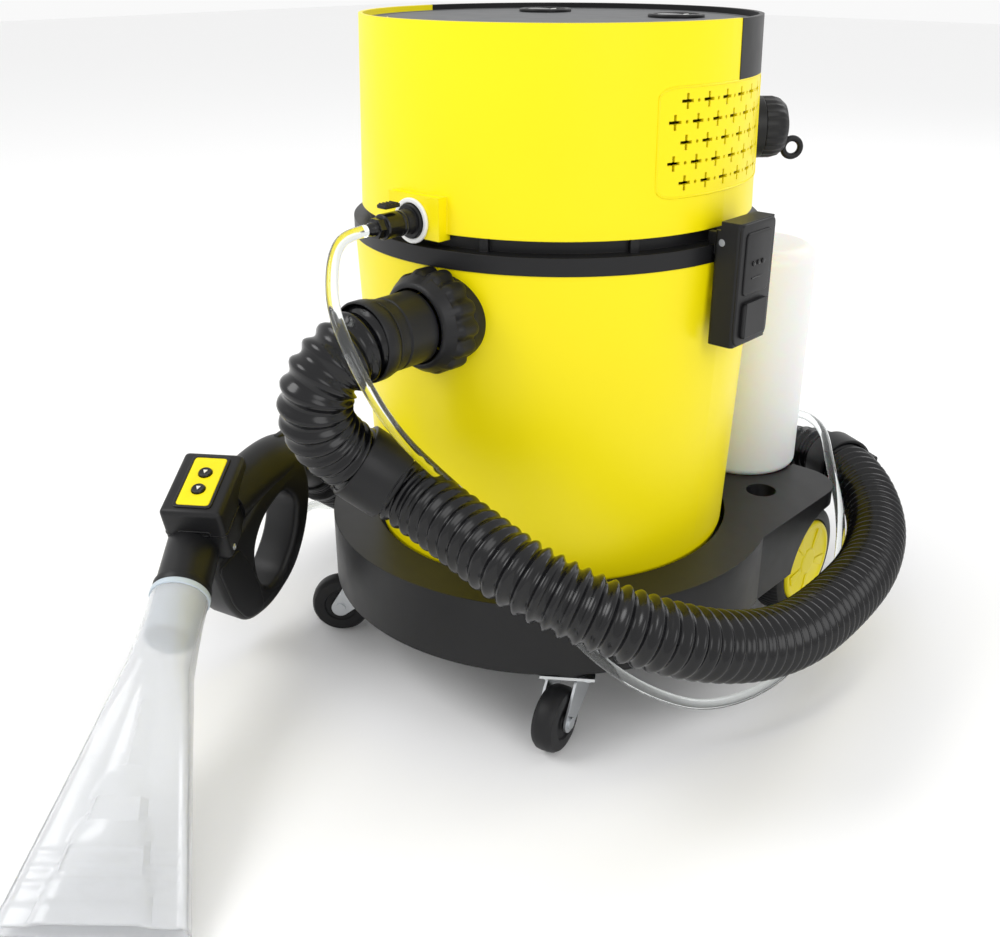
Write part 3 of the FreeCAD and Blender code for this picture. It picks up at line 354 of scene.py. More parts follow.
def route_curve(name, route, bevel=0.0):
    """A NURBS curve whose control points are a cord's route."""
    curve = bpy.data.curves.new(name, "CURVE")
    curve.dimensions = "3D"
    curve.resolution_u = 16
    curve.bevel_depth = bevel * MM
    curve.bevel_resolution = 6
    curve.use_fill_caps = True
    spline = curve.splines.new("NURBS")
    spline.points.add(len(route) - 1)
    for point, place in zip(spline.points, route):
        point.co = (*[c * MM for c in place], 1)
    spline.order_u = 3
    spline.use_endpoint_u = True
    obj = bpy.data.objects.new(name, curve)
    bpy.context.scene.collection.objects.link(obj)
    return obj


def path_of(name, route):
    """Points along the route's spline, in millimetres."""
    guide = route_curve(name, route)
    bpy.context.view_layer.update()
    mesh = bpy.data.meshes.new_from_object(guide)
    points = [v.co / MM for v in mesh.vertices]
    bpy.data.objects.remove(guide)
    return points


def along_path(path, spacing):
    """Evenly spaced points of a path, each with the direction there."""
    lengths = [0.0]
    for a, b in zip(path, path[1:]):
        lengths.append(lengths[-1] + (b - a).length)
    count = max(2, int(round(lengths[-1] / spacing)))
    result = []
    index = 0
    for step in range(count + 1):
        target = lengths[-1] * step / count
        while index < len(path) - 2 and lengths[index + 1] < target:
            index += 1
        span = lengths[index + 1] - lengths[index]
        t = (target - lengths[index]) / span if span else 0
        result.append(path[index].lerp(path[index + 1], t))
    ways = []
    for step in range(count + 1):
        ways.append((result[min(step + 1, count)] - result[max(step - 1, 0)]).normalized())
    return result, ways, lengths[-1]


def swept(name, path, spacing, radius_at, material, sides=36, body=MACHINE, replaces=None, angle=SHARP):
    """A closed tube along a path; radius_at(distance, total) gives its radius there."""
    centres, ways, total = along_path(path, spacing)
    side = ways[0].orthogonal().normalized()
    points = []
    for index, (centre, way) in enumerate(zip(centres, ways)):
        side = (side - way * side.dot(way)).normalized()
        up = way.cross(side)
        radius = radius_at(total * index / (len(centres) - 1), total)
        for step in range(sides):
            turn = 2 * math.pi * step / sides
            points.append(centre + (side * math.cos(turn) + up * math.sin(turn)) * radius)
    faces = []
    rings = len(centres)
    for ring in range(rings - 1):
        for step in range(sides):
            a, b = ring * sides + step, ring * sides + (step + 1) % sides
            faces.append((a, b, b + sides, a + sides))
    faces.append(tuple(range(sides)))
    faces.append(tuple((rings - 1) * sides + step for step in range(sides)))
    return mesh_piece(name, points, faces, material, body, replaces, angle=angle)


def hose_radius(distance, _total):
    """The corrugation: crests and grooves of about the same width."""
    phase = (distance / HOSE_PITCH) % 1.0
    wave = 0.5 + 0.5 * math.cos(2 * math.pi * phase)
    return HOSE_DIAMETER / 2 - GROOVE_DEPTH * (1 - wave ** 1.05)


def make_cords():
    """The corrugated hose, a mesh tube along its route's spline, and the clear tube, a curve."""
    hose_path = path_of("hose_guide", HOSE_ROUTE)
    hose = swept("suction_hose_skin", hose_path, HOSE_PITCH / 8, hose_radius, HOSE, 40,
                 replaces="suction_hose", angle=math.radians(70))
    hose_length = along_path(hose_path, 5.0)[2]
    tube_path = path_of("tube_guide", TUBE_ROUTE)
    tube_length = along_path(tube_path, 2.0)[2]
    tube = route_curve("solution_tube_clear", TUBE_ROUTE, TUBE_DIAMETER / 2)
    tube.data.materials.append(TUBE)
    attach(tube, MACHINE)
    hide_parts("solution_tube")
    return hose, hose_path, hose_length, tube, tube_length


# ---------------------------------------------------------------- clips on the hose
def clip_place(before, after):
    """The frame of a hose clip: its Z runs along the hose between two points of the route."""
    start, end = Vector(HOSE_ROUTE[before]), Vector(HOSE_ROUTE[after])
    return (start + end) * 0.5, (end - start).normalized()


def make_clip(node, before, after, width, side):
    """A strap round the hose with a buckle box, a window in it and a pull tab."""
    middle, way = clip_place(before, after)
    side = (side - way * side.dot(way)).normalized()
    across = way.cross(side)
    place = Matrix.Identity(4)
    for column, axis in enumerate((across, side, way)):
        place.col[column][:3] = axis
    place.translation = middle
    inner, outer, half = 23.6, 26.6, width / 2
    band = rounded([(inner, -half), (outer, -half), (outer, half), (inner, half)], 1.1)
    pieces = [lathe(node + "_band", band, place, BLACK, replaces=node)]
    pieces.append(block(node + "_buckle", (-10, 23.5, -half), (10, 33.5, half), 1.6, BLACK, place,
                        replaces=node))
    window = [rectangle(-8, 8, -half + 2, half - 2, 2.5), rectangle(-5, 5, -half + 5, half - 5, 1.5)]
    face = place @ Matrix.Translation((0, 34.0, 0)) @ Matrix.Rotation(math.pi / 2, 4, "X")
    rim = slab(node + "_rim", window, 1.6, 0.5, GLOSS_BLACK, face)
    tab = block(node + "_tab", (-5, 24.5, half - 3), (5, 29, half + 4), 1.2, BLACK, place)
    return pieces + [rim, tab]


# ---------------------------------------------------------------- head
HEAD_TOP = 500.0
HEAD_LOW = 370.0
HEAD_LOW_RADIUS = 144.5
HEAD_HIGH_RADIUS = 141.0
COVER_TOP = 496.0
SWITCH_SIDE = 60
SWITCH_BACK = 57
PORT_ANGLE = math.radians(135)
PORT_HEIGHT = 420.0
GLAND_ANGLE = math.radians(200)
GLAND_HEIGHT = 398.0
EYELET_RADIUS = 6.5
EYELET_WIRE = 2.3


def head_radius(height):
    """The head's tapering outside radius."""
    narrowing = HEAD_LOW_RADIUS - HEAD_HIGH_RADIUS
    return HEAD_LOW_RADIUS - narrowing * (height - HEAD_LOW) / (HEAD_TOP - HEAD_LOW)


def around(angle, radius, height):
    """A point at an angle from -Y toward +X."""
    return Vector((math.sin(angle) * radius, -math.cos(angle) * radius, height))


def bead(name, path, radius, material, closed=False, body=MACHINE, sides=8):
    """A thin round bead along a list of points."""
    points, count = [], len(path)
    for index, here in enumerate(path):
        before = path[index - 1] if closed or index else path[0]
        after = path[(index + 1) % count] if closed or index < count - 1 else path[-1]
        way = (after - before).normalized()
        guide = Vector((0, 0, 1)) if abs(way.z) < 0.9 else Vector((here.x, here.y, 0))
        side = way.cross(guide).normalized()
        up = side.cross(way)
        for step in range(sides):
            turn = 2 * math.pi * step / sides
            points.append(here + (side * math.cos(turn) + up * math.sin(turn)) * radius)
    faces = []
    for ring in range(count if closed else count - 1):
        for step in range(sides):
            a, b = ring * sides + step, ring * sides + (step + 1) % sides
            c, d = ((ring + 1) % count) * sides + (step + 1) % sides, ((ring + 1) % count) * sides + step
            faces.append((a, b, c, d))
    if not closed:
        faces.append(tuple(range(sides)))
        faces.append(tuple((count - 1) * sides + step for step in range(sides)))
    return mesh_piece(name, points, faces, material, body, angle=math.radians(60))


def make_vent_frames():
    """The raised outline round the vent slots, on both sides of the head."""
    outline = rectangle(65.0, 121.0, 394.0, 462.0, 7.0, 8)
    for side in (1, -1):
        path = []
        for a, b in zip(outline, outline[1:] + outline[:1]):
            steps = max(1, int(abs(b[0] - a[0]) / 2.0))
            for step in range(steps):
                t = step / steps
                angle, height = a[0] + (b[0] - a[0]) * t, a[1] + (b[1] - a[1]) * t
                path.append(around(side * math.radians(angle), head_radius(height) - 0.1, height))
        bead("vent_frame_" + ("right" if side > 0 else "left"), path, 0.75, YELLOW, True)


def make_top():
    """The rolled front lip, the arc on the cover, the bezels and the rocker switches."""
    lip = [around(math.radians(a), 139.6, 498.5) for a in range(-94, 95, 2)]
    bead("head_lip", lip, 1.5, YELLOW)
    arc = [around(math.radians(a), 121.0, COVER_TOP + 0.1) for a in range(-46, -9, 2)]
    bead("cover_arc", arc, 0.7, YELLOW)
    seam = [around(math.radians(a), 131.0, COVER_TOP) for a in range(0, 360, 3)]
    bead("cover_seam", seam, 0.5, GREY, True)
    for side, sign, node in (("right", 1, "switch_vacuum"), ("left", -1, "switch_pump")):
        body = "rocker_" + node.split("_")[1]
        place = at(sign * SWITCH_SIDE, SWITCH_BACK, 0)
        rim = rounded([(16.0, 495.6), (20.0, 495.6), (20.0, 498.4), (16.0, 498.4)], 1.1)
        lathe("bezel_" + side, rim, place, BLACK, replaces="switch_bezels", turns=64)
        lift = [(0, 489.2), (14.3, 489.2), (14.3, 496.6), (13.2, 497.4), (6, 497.0), (0, 496.8)]

        def dished(turn, radius, along):
            return radius, along + (0.9 * abs(math.cos(turn)) * radius / 14.3 if along > 495 else 0)
        lathe(node + "_rocker", rounded(lift, 0.8, False), place, GLOSS_BLACK, body, node, 64, dished, False,
              math.radians(50))
        stroke = [Vector((sign * SWITCH_SIDE + 8 + 0.01 * k, SWITCH_BACK - 3 + k, COVER_TOP + 2))
                  for k in range(7)]
        bead(node + "_mark", stroke, 0.4, WHITE, body=body)


def make_port():
    """The blow port's cap with its ribs and eyelet, and the cord gland."""
    out = around(PORT_ANGLE, 1, 0)
    place = at(0, 0, PORT_HEIGHT, out)
    profile = [(18.1, 150.5), (21.9, 150.5), (21.9, 158.0), (20.6, 163.0), (17.0, 167.3), (10.0, 169.8),
               (0.0, 170.3), (0.0, 160.6), (18.1, 160.6)]

    def ribbed(turn, radius, along):
        return (radius - (0.7 if 20.5 < radius and math.cos(24 * turn) > 0 else 0.0), along)
    lathe("port_cap_dome", profile, place, BLACK, "blow_cap", "port_cap", 96, ribbed, True,
          math.radians(40))
    centre = out * 176 + Vector((0, 0, PORT_HEIGHT - 15))
    turns, sides = 40, 12
    ring = [centre + (out * math.cos(t) + Vector((0, 0, 1)) * math.sin(t)) * EYELET_RADIUS
            for t in [2 * math.pi * k / turns for k in range(turns)]]
    side = Vector((-out.y, out.x, 0))
    points, faces = [], []
    for index in range(turns):
        spoke = (ring[index] - centre).normalized()
        following = (index + 1) % turns
        for step in range(sides):
            turn = 2 * math.pi * step / sides
            points.append(ring[index] + spoke * EYELET_WIRE * math.cos(turn)
                          + side * EYELET_WIRE * math.sin(turn))
            a, b = index * sides + step, index * sides + (step + 1) % sides
            faces.append((a, b, following * sides + (step + 1) % sides, following * sides + step))
    mesh_piece("port_cap_eyelet", points, faces, BLACK, "blow_cap", "port_cap", angle=math.radians(60))
    gland = at(0, 0, GLAND_HEIGHT, around(GLAND_ANGLE, 1, 0))
    stem = [(3.7, 138), (9, 138), (9, 148), (7.6, 149), (7.6, 150.4), (8.2, 151), (8.2, 152.4),
            (7.2, 153), (7.2, 154.4), (7.6, 155), (7.6, 156.4), (6.6, 157), (6.6, 158.4), (6.9, 159),
            (6.6, 161), (3.7, 161)]
    lathe("cord_gland", stem, gland, RUBBER, replaces="power_cord_gland", turns=48)


def make_latches():
    """Outer plates, finger steps and marks on the two latches; the hollow body is the CAD node."""
    for side, sign in (("right", 1), ("left", -1)):
        body = "clasp_" + side
        turn = Matrix.Rotation(math.pi / 2, 4, "Z") @ Matrix.Rotation(math.pi / 2, 4, "X")
        face = Matrix.Translation((sign * 171.6, 0, 0)) @ turn
        outline = rounded([(-21.5, 294.6, 7), (21.5, 294.6, 7), (21.5, 377.4, 5), (-21.5, 377.4, 5)], 6)
        slab("latch_plate_" + side, [outline], 2.6, 1.0, BLACK, face, body)
        upper = Matrix.Translation((sign * 173.2, 0, 0)) @ turn
        slab("latch_panel_" + side, [rectangle(-16, 16, 329, 371, 4)], 1.6, 0.7, BLACK, upper, body)
        step = Matrix.Translation((sign * 173.6, 0, 0)) @ turn
        loops = [rectangle(-15, 15, 299, 324, 4), rectangle(-2.2, 2.2, 303, 319, 2)]
        slab("latch_grip_" + side, loops, 4.4, 1.2, BLACK, step, body)
        for k, y in enumerate((-6, 0, 6)):
            dot = [(0, 0), (1.7, 0), (1.7, 0.7), (1.1, 1.2), (0, 1.3)]
            lathe("latch_dot_%s_%d" % (side, k), dot, at(sign * 173.9, y, 350, (sign, 0, 0)), GLOSS_BLACK,
                  body, turns=20, closed=False)
        bead("latch_mark_" + side, [Vector((sign * 174.1, y, 340)) for y in (-7, 0, 7)], 0.5, GLOSS_BLACK,
             body=body)


# ---------------------------------------------------------------- inlet and coupler
INLET_SIDE = 24
INLET_HEIGHT = 315
COUPLER_HEIGHT = 377
SCALLOPS = 14


def make_inlet():
    """The saddle on the tank, the scalloped collar and the long hose cuff."""
    place = at(INLET_SIDE, 0, INLET_HEIGHT, (0, -1, 0))
    saddle = rounded([(25.2, 138), (30.5, 138), (30.5, 149), (25.2, 149)], 1)
    lathe("inlet_saddle", saddle, place, BLACK, replaces="inlet_flange", turns=96)
    ring = rounded([(25.2, 149.4), (34.6, 149.4, 1.5), (35.4, 152.5, 2), (35.4, 163, 2.5),
                    (33.6, 166.5, 1.5), (28.6, 174.4, 2), (26.6, 175.4, 0.8), (25.2, 175.4)], 0.8)

    def scalloped(turn, radius, along):
        lobe = 0.5 - 0.5 * math.cos(SCALLOPS * turn)
        return (radius - 3.4 * lobe ** 1.6 if radius > 33 else radius, along)
    lathe("collar_knob", ring, place, BLACK, "collar", "inlet_collar", 336, scalloped, True,
          math.radians(40))
    cuff = [(17.2, 176), (24.0, 176), (24.0, 198.6), (23.2, 199.2), (23.2, 200.6), (24.0, 201.2),
            (24.2, 206.6), (23.4, 207.2), (23.4, 208.6), (24.6, 209.2), (26.0, 211.4), (26.4, 214),
            (26.4, 220.4), (25.8, 221.4), (24.9, 221.4), (24.9, 206.9), (17.2, 206.9)]
    lathe("cuff_skin", cuff, place, BLACK, replaces="hose_cuff", turns=96)


def make_coupler():
    """The quick coupler: its white ring, socket, plug with a hexagon and barb, and release button."""
    place = at(0, 0, COUPLER_HEIGHT, (0, -1, 0))
    ring = rounded([(11.7, 150.0), (15, 150.0), (15, 152.3), (11.7, 152.3)], 0.9)
    lathe("coupler_white_ring", ring, place, WHITE, replaces="coupler_ring", turns=64)
    socket = [(0, 142), (7, 142), (7, 149.8), (11.4, 150), (11.4, 153.4), (10.8, 154), (8.6, 154),
              (8.2, 158.0), (7.6, 160.0), (0, 160.0)]
    lathe("coupler_socket_skin", socket, place, BLACK, replaces="coupler_socket", turns=64, closed=False)
    plug = [(0, 160.3), (8.0, 160.3), (8.4, 161), (8.4, 163.2), (7.8, 163.8), (7.8, 164.6), (8.4, 165.2),
            (8.4, 177.4), (7.8, 178.2), (6.4, 178.4), (6.4, 184.0), (4.6, 184.3), (4.6, 185.6),
            (3.6, 187.2), (4.5, 187.6), (3.5, 190.0), (3.2, 191.8), (0, 191.8)]

    def hexed(turn, radius, along):
        flat = radius / max(math.cos((turn % (math.pi / 3)) - math.pi / 6), 0.5) * 0.95
        return (flat if 178.3 < along < 184.1 and radius > 6 else radius, along)
    lathe("coupler_plug_skin", plug, place, GLOSS_BLACK, replaces="coupler_plug", turns=96, shape=hexed,
          closed=False)
    block("coupler_release_cap", (-4.4, -177.6, 388.5), (4.4, -164.4, 391.2), 0.9, BLACK,
          body="coupler_release", replaces="coupler_button")
    for k in range(4):
        block("coupler_release_rib_%d" % k, (-4.0, -176 + 3 * k, 391.0), (4.0, -175 + 3 * k, 391.8), 0.3,
              BLACK, body="coupler_release")


# ---------------------------------------------------------------- wheels
WHEEL_BACK = 163
WHEEL_RADIUS = 50
CASTER_SIDE = 112
CASTER_FRONT = -113
CASTER_TRAIL = 20
CASTER_RADIUS = 25
TRAIL_WAY = {"right": (0.2, -0.98), "left": (-0.748, -0.664)}


def make_rear_wheels():
    """The two fixed wheels: a grooved tyre and a yellow hub cap with five spokes."""
    for side, sign in (("right", 1), ("left", -1)):
        body = "wheel_" + side
        place = at(0, WHEEL_BACK, WHEEL_RADIUS, (sign, 0, 0))
        tyre = [(5.3, 131.5), (14, 131.5), (14, 134), (36, 134), (37, 131.6), (43, 131.2), (47.6, 133.0),
                (49.7, 137.5), (49.95, 142), (49.95, 148), (49.7, 152.5), (47.6, 157.0), (43, 158.8),
                (38.4, 158.8), (37.2, 157.2), (37.0, 155.5), (12, 155.5), (12, 150), (5.3, 150)]

        def treaded(turn, radius, along):
            groove = radius > 49 and abs(math.sin(36 * turn)) < 0.3 and abs(along - 145) > 2.6
            return (radius - (0.8 if groove else 0.0), along)
        lathe("tyre_" + side, tyre, place, RUBBER, body, "rear_wheel_" + side, 288, treaded)
        cap = [(0, 157.6), (36.6, 157.0), (36.8, 158.6), (35.6, 160.6), (33.0, 161.0), (31.6, 159.9),
               (29.0, 159.5), (12.5, 160.1), (11.4, 161.0), (9.0, 161.2), (0, 161.2)]
        lathe("hub_cap_skin_" + side, rounded(cap, 0.5, False), place, YELLOW, body, "hub_cap_" + side,
              closed=False)
        for spoke in range(5):
            turn = place @ Matrix.Rotation(2 * math.pi * spoke / 5, 4, "Z")
            outline = rounded([(12, -2.2), (30, -5.2), (30, 5.2), (12, 2.2)], 1.6)
            slab("hub_spoke_%s_%d" % (side, spoke), [outline], 1.6, 0.6, YELLOW,
                 turn @ Matrix.Translation((0, 0, 160.1)), body)


def make_caster_wheels():
    """The casters' wheels, dished on both sides; each trails its swivel the way that it stands at rest."""
    half = [(3.1, 8.6), (6.0, 8.6), (6.6, 7.4), (13.2, 7.4), (14.2, 8.8), (19.0, 9.0), (22.6, 8.2),
            (24.5, 5.6), (24.98, 2.6)]
    wheel = [(radius, -along) for radius, along in half] + half[::-1]
    for side, sign in (("right", 1), ("left", -1)):
        trail = Vector(TRAIL_WAY[side]).normalized()
        place = at(sign * CASTER_SIDE + CASTER_TRAIL * trail.x, CASTER_FRONT + CASTER_TRAIL * trail.y,
                   CASTER_RADIUS, (-trail.y, trail.x, 0))
        lathe("caster_tread_" + side, wheel, place, RUBBER, "caster_roller_" + side,
              "caster_wheel_" + side, angle=math.radians(36))


# ---------------------------------------------------------------- clean-water can
CAN_END = 47.0
CAN_SIDE = 74.0
CAN_BACK = 183.0
CAN_CLEAR = 154.0
CAN_LOW = 119.2
CAN_HIGH = 317.0
CAN_EDGE = 7
CAN_SHOULDER = 13
NECK_BACK = 191


def can_outline():
    """The can seen from above: two round ends, a flat back and a hollow front round the tank."""
    meet = math.atan2(CAN_BACK, CAN_SIDE)
    reach = math.hypot(CAN_SIDE, CAN_BACK)
    cosine = (CAN_END ** 2 + reach ** 2 - CAN_CLEAR ** 2) / (2 * CAN_END * reach)
    right = []
    begin = meet + math.pi + math.acos(max(-1, min(1, cosine)))
    for step in range(25):
        turn = begin + (2.5 * math.pi - begin) * step / 24
        right.append((CAN_SIDE + CAN_END * math.cos(turn), CAN_BACK + CAN_END * math.sin(turn)))
    left = [(-x, y) for x, y in reversed(right)]
    back = [(x, CAN_BACK + CAN_END) for x in (48, 24, 0, -24, -48)]
    a0 = math.atan2(left[-1][1], left[-1][0])
    a1 = math.atan2(right[0][1], right[0][0])
    hollow = []
    for k in range(1, 16):
        turn = a0 + (a1 - a0) * k / 16
        hollow.append((CAN_CLEAR * math.cos(turn), CAN_CLEAR * math.sin(turn)))
    return right + back + left + hollow


def inset(loop, distance):
    """Move a closed outline inward."""
    result = []
    count = len(loop)
    for index in range(count):
        before, after = Vector(loop[index - 1]), Vector(loop[(index + 1) % count])
        way = (after - before).normalized()
        result.append(tuple(Vector(loop[index]) + Vector((-way.y, way.x)) * distance))
    return result


def make_can():
    """The milky can with rounded edges below and a rounder shoulder above, its neck and its lid."""
    outline = can_outline()
    rows = []
    for step in range(7):
        turn = math.pi / 2 * step / 6
        rows.append((CAN_EDGE * (1 - math.sin(turn)), CAN_LOW + CAN_EDGE * (1 - math.cos(turn))))
    for step in range(9):
        turn = math.pi / 2 * step / 8
        rows.append((CAN_SHOULDER * (1 - math.cos(turn)),
                     CAN_HIGH - CAN_SHOULDER + CAN_SHOULDER * math.sin(turn)))
    points, count = [], len(outline)
    for distance, height in rows:
        points += [(x, y, height) for x, y in inset(outline, distance)]
    faces = []
    for row in range(len(rows) - 1):
        for k in range(count):
            a, b = row * count + k, row * count + (k + 1) % count
            faces.append((a, b, b + count, a + count))
    faces.append(tuple(range(count)))
    faces.append(tuple((len(rows) - 1) * count + k for k in range(count)))
    mesh_piece("can_skin", points, faces, MILKY, "clean_can", "water_can", angle=math.radians(50))
    neck = at(0, NECK_BACK, 0)
    lathe("can_neck", [(15, 316), (17, 316), (17, 324.2), (15, 324.2)], neck, MILKY, "clean_can",
          "water_can", 64)
    lid = [(17.2, 317.6), (20.8, 317.6), (20.9, 319), (20.9, 325.6), (19.8, 327.0), (17, 327.1), (0, 326.6),
           (0, 324.9), (17.2, 324.9)]

    def knurled(turn, radius, along):
        return (radius - (0.8 if radius > 20 and math.cos(30 * turn) > 0.2 else 0.0), along)
    lathe("can_lid_skin", lid, neck, WHITE, "lid", "can_lid", 240, knurled)


# ---------------------------------------------------------------- hand tool
def tool_frame(origin, heading, pitch):
    """A frame of the hand tool: X points forward, turned by the heading and tipped down by the pitch."""
    turn = Matrix.Rotation(math.radians(heading), 4, "Z") @ Matrix.Rotation(math.radians(pitch), 4, "Y")
    return Matrix.Translation(origin) @ turn


NOZZLE_FRAME = tool_frame((-124, -282, 101), -49.5, 20.9)
BOX_FRAME = tool_frame((-150.8, -250.6, 118.9), -55.6, 19.2)
GRIP_FRAME = tool_frame((-150.8, -250.6, 118.9), -78.0, 19.0)
NOZZLE_STATIONS = ((0, 21.5, 21.5, 2.0, 0), (26, 21.5, 21.5, 2.0, 0), (46, 22.2, 21.0, 2.3, 0),
                   (70, 23.5, 20.0, 2.8, 0), (140, 37.0, 13.0, 4.5, -1), (252, 59.0, 8.5, 7.0, -3))
MOUTH = 252.0
NOZZLE_WALL = 1.9


def between(stations, x):
    """The values at x, in straight steps between the stations."""
    for first, last in zip(stations, stations[1:]):
        if x <= last[0]:
            t = (x - first[0]) / (last[0] - first[0])
            return [a + (b - a) * t for a, b in zip(first[1:], last[1:])]
    return list(stations[-1][1:])


def ease(low, high, x):
    """From 0 at low to 1 at high, smoothly."""
    t = max(0.0, min(1.0, (x - low) / (high - low)))
    return t * t * (3 - 2 * t)


def nozzle_point(x, turn):
    """A point of the nozzle's outside: a rounded section with a tongue on top and ribs near the mouth."""
    half, tall, power, drop = between(NOZZLE_STATIONS, x)
    c, s = math.cos(turn), math.sin(turn)
    y = half * math.copysign(abs(c) ** (2 / power), c)
    z = tall * math.copysign(abs(s) ** (2 / power), s)
    tongue = half * 0.62 * ease(58, MOUTH, x)
    if s > 0 and x > 60:
        raised = ease(0.0, 3.5, tongue - abs(y)) * ease(60, 84, x)
        z += 2.3 * raised
        z -= 1.6 * (1 - raised) * ease(90, 150, x) * ease(-3.0, -7.0, abs(y) - half)
    for rib in (206, 216, 226):
        if s > 0 and abs(y) < half - 5:
            z += 0.8 * math.exp(-((x - rib) / 1.5) ** 2)
    if x > 236:
        z += 0.9 * math.copysign(ease(236, 241, x), s)
    return x, y, z + drop


def make_nozzle():
    """The clear nozzle's thin shell, its frosted insert and collar, and the black pipe behind them."""
    rows = [x * 2.0 for x in range(0, 127)]
    sides = 120
    points, faces = [], []
    for x in rows:
        for step in range(sides):
            points.append(nozzle_point(x, 2 * math.pi * step / sides))
    for row in range(len(rows) - 1):
        for step in range(sides):
            a, b = row * sides + step, row * sides + (step + 1) % sides
            faces.append((a, b, b + sides, a + sides))
    nozzle = mesh_piece("clear_nozzle_skin", points, faces, CLEAR, replaces="clear_nozzle",
                        place=NOZZLE_FRAME, angle=math.radians(38))
    thick = nozzle.modifiers.new("wall", "SOLIDIFY")
    thick.thickness = NOZZLE_WALL * MM
    thick.offset = -1
    thick.use_even_offset = True
    along = NOZZLE_FRAME @ Matrix.Rotation(math.pi / 2, 4, "Y")
    insert = rounded([(16.4, 0.2), (18.4, 0.2), (18.4, 41), (16.4, 41)], 0.5)
    lathe("nozzle_insert", insert, along, FROSTED, replaces="tool_pipe", turns=72)
    collar = [(18.7, 0.3), (22.2, 0.3), (22.6, 1.0), (22.6, 4.6), (22.2, 5.2), (18.7, 5.2)]
    lathe("nozzle_collar", collar, along, FROSTED, turns=72)
    pipe = [(16, -55), (20.5, -55), (20.5, -7), (22.0, -6.2), (22.0, -1.4), (21.4, -0.3), (16, -0.3)]
    lathe("tool_pipe_skin", pipe, along, BLACK, replaces="tool_pipe", turns=72)


def make_tool_box():
    """The box of the hand tool with its seam, label, two keys, front slot and screws."""
    block("tool_box_skin", (-68, -19.2, -12), (0, 29.8, 38), 4.2, BLACK, BOX_FRAME, replaces="tool_box",
          segments=4)
    seam = BOX_FRAME @ Matrix.Translation((-34, 5.3, 14))
    slab("tool_box_seam", [rectangle(-34.4, 34.4, -24.9, 24.9, 5)], 1.2, 0.4, GLOSS_BLACK, seam)
    top = BOX_FRAME @ Matrix.Translation((-34, 5.5, 38.4))
    holes = [[(x + 5.6 * math.cos(math.pi * k / 16), 5.6 * math.sin(math.pi * k / 16)) for k in range(32)]
             for x in (9, -9)]
    slab("tool_label_skin", [rectangle(-26, 26, -13, 13, 3)] + holes, 1.6, 0.4, YELLOW, top,
         replaces="tool_label")
    edges = [rectangle(-28.4, 28.4, -15.4, 15.4, 4.5), rectangle(-26.2, 26.2, -13.2, 13.2, 3.2)]
    slab("tool_label_frame", edges, 1.8, 0.5, GLOSS_BLACK, top)
    for x, node, body in ((-25, "button_suction", "suction_key"), (-43, "button_spray", "spray_key")):
        place = BOX_FRAME @ Matrix.Translation((x, 5.5, 0))
        cap = [(0, 32.3), (5.2, 32.3), (5.2, 40.2), (4.6, 40.9), (3.6, 40.6), (0, 40.4)]
        lathe(node + "_skin", cap, place, GLOSS_BLACK, body, node, 48, closed=False)
        sign = rounded([(-1.9, -1.9), (2.1, 0), (-1.9, 1.9)], 0.5)
        slab(node + "_glyph", [sign], 0.5, 0.15, WHITE, place @ Matrix.Translation((0, 0, 40.7)), body,
             steps=1)
    front = BOX_FRAME @ Matrix.Translation((0.1, 5.3, 16)) @ Matrix.Rotation(math.pi / 2, 4, "Y")
    slot = [rectangle(-3, 3, -13, 13, 2.5), rectangle(-1.2, 1.2, -11, 11, 1.1)]
    slab("tool_front_slot", slot, 1.4, 0.5, GLOSS_BLACK, front)
    for x in (-60, -8):
        for y, turn in ((29.8, -1), (-19.2, 1)):
            head = at(x, y, -5, (0, -turn, 0))
            screw = [(0, -0.4), (2.6, -0.4), (2.6, 0.5), (2.1, 0.9), (0.9, 0.9), (0.7, 0.2), (0, 0.2)]
            lathe("tool_screw_%d_%d" % (x, y), screw, BOX_FRAME @ head, ZINC, turns=24, closed=False)


def make_handle():
    """The flat-sided closed handle behind and below the box, with its trigger."""
    outline = rounded([(3, -14, 8), (5, -60, 14), (-4, -88, 14), (-34, -97, 16), (-72, -90, 26),
                       (-101, -66, 26), (-121, -34, 26), (-124, -4, 22), (-108, 9, 16), (-70, 4, 20),
                       (-36, -8, 12)], 12, True, 6)
    hole = rounded([(-62, -18, 14), (-92, -14, 14), (-101, -34, 16), (-84, -62, 20), (-56, -80, 12),
                    (-36, -80, 9), (-33, -62, 12), (-40, -36, 14)], 12, True, 6)
    place = GRIP_FRAME @ Matrix.Rotation(math.pi / 2, 4, "X")
    slab("tool_handle_skin", [outline, hole], 36, 5.0, BLACK, place, replaces="tool_handle", steps=5)
    panel = rounded([(0, -20, 5), (1, -60, 8), (-6, -84, 8), (-26, -90, 8), (-30, -70, 8), (-30, -40, 8),
                     (-26, -20, 5)], 6, True, 5)
    slab("tool_handle_panel", [panel], 38, 1.2, BLACK, place, steps=3)
    trigger = smooth_loop([(-40, -30), (-33, -34), (-31, -52), (-38, -60), (-43, -50)])
    slab("tool_trigger_pad", [trigger], 17, 3.0, GLOSS_BLACK, place)


ELBOW_ROUTE = [(-159.1, -211.5, 141.2), (-170, -160.6, 159.1), (-186, -118, 142), (-205, -74, 104)]
CUFF_LENGTH = 26.0


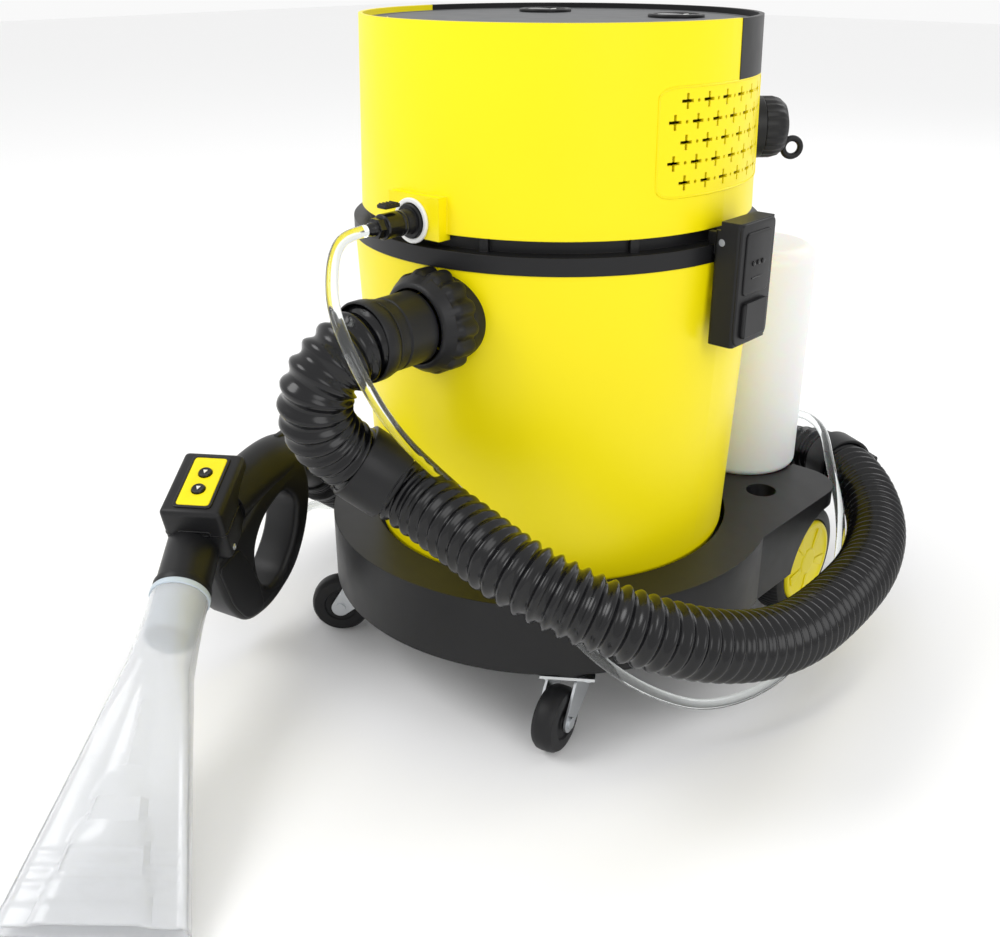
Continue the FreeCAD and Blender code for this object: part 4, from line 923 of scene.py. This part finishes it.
def make_elbow():
    """The bent pipe behind the box, its tab and the hose cuff."""
    end, before = Vector(ELBOW_ROUTE[-1]), Vector(ELBOW_ROUTE[-2])
    way = (end - before).normalized()
    cuff_start = end - way * CUFF_LENGTH
    route = ELBOW_ROUTE[:-1] + [tuple(cuff_start)]
    path = path_of("elbow_guide", route)

    def swelling(distance, total):
        return 19.4 + 0.9 * math.sin(math.pi * distance / total)
    swept("tool_elbow_skin", path, 2.0, swelling, BLACK, 48, replaces="tool_elbow")
    tab_place = Matrix.Translation((-176, -140, 169)) @ Matrix.Rotation(math.radians(-70), 4, "Z")
    block("tool_elbow_tab", (-7, -3, -4), (7, 3, 5), 1.4, BLACK, tab_place)
    place = at(*cuff_start, way)
    cuff = [(17.1, 0.2), (20.9, 0.2), (21.5, 1.2)]
    for groove in range(3):
        start = 3.0 + 4.6 * groove
        cuff += [(21.5, start), (20.5, start + 0.5), (20.5, start + 1.3), (21.5, start + 1.8)]
    cuff += [(21.5, 17.4), (24.6, 18.6), (25.4, 19.8), (25.4, 25.0), (24.8, 25.8), (17.1, 25.8)]
    lathe("tool_cuff_skin", cuff, place, BLACK, replaces="tool_cuff", turns=96)


# ---------------------------------------------------------------- floor and light
FLOOR_COLOUR = (0.93, 0.93, 0.93)
FLOOR_REACH_METRES = 9.0
FLOOR_METRES = -0.0005
WORLD_STRENGTH = 0.95
LAMPS = (("key", (-1.2, -1.6, 2.2), (0, 0, 0.25), 1.4, 26),
         ("fill", (2.2, -0.9, 1.5), (0, 0, 0.25), 1.6, 14),
         ("back", (0.4, 2.2, 2.0), (0, 0, 0.3), 1.6, 14))     # name, place, aim, size and power


def make_studio():
    """A plain pale floor, a white world and three soft lamps, in metres."""
    mesh = bpy.data.meshes.new("floor")
    far = FLOOR_REACH_METRES
    corners = [(x, y, FLOOR_METRES) for x, y in ((-far, -far), (far, -far), (far, far), (-far, far))]
    mesh.from_pydata(corners, [], [(0, 1, 2, 3)])
    floor = bpy.data.objects.new("floor", mesh)
    bpy.context.scene.collection.objects.link(floor)
    material, _, _, shader = new_material("floor")
    shader.inputs["Base Color"].default_value = (*FLOOR_COLOUR, 1)
    shader.inputs["Roughness"].default_value = 0.7
    floor.data.materials.append(material)
    world = bpy.data.worlds.new("studio")
    world.use_nodes = True
    world.node_tree.nodes["Background"].inputs["Color"].default_value = (1, 1, 1, 1)
    world.node_tree.nodes["Background"].inputs["Strength"].default_value = WORLD_STRENGTH
    bpy.context.scene.world = world
    for name, place, aim, size, power in LAMPS:
        data = bpy.data.lights.new(name, "AREA")
        data.shape = "DISK"
        data.size = size
        data.energy = power
        light = bpy.data.objects.new(name, data)
        bpy.context.scene.collection.objects.link(light)
        light.location = place
        light.rotation_euler = (Vector(aim) - Vector(place)).to_track_quat("-Z", "Y").to_euler()


# ---------------------------------------------------------------- the whole machine
dress_cad()
cord_facts = make_cords()
clips = make_clip("hose_clip_front", 6, 7, 30, Vector((-1, -0.2, -0.35)))
clips += make_clip("hose_clip_rear", 17, 18, 26, Vector((0.75, 0.6, -0.1)))
make_vent_frames()
make_top()
make_port()
make_latches()
make_inlet()
make_coupler()
make_rear_wheels()
make_caster_wheels()
make_can()
make_nozzle()
make_tool_box()
make_handle()
make_elbow()
make_studio()

bpy.context.view_layer.update()
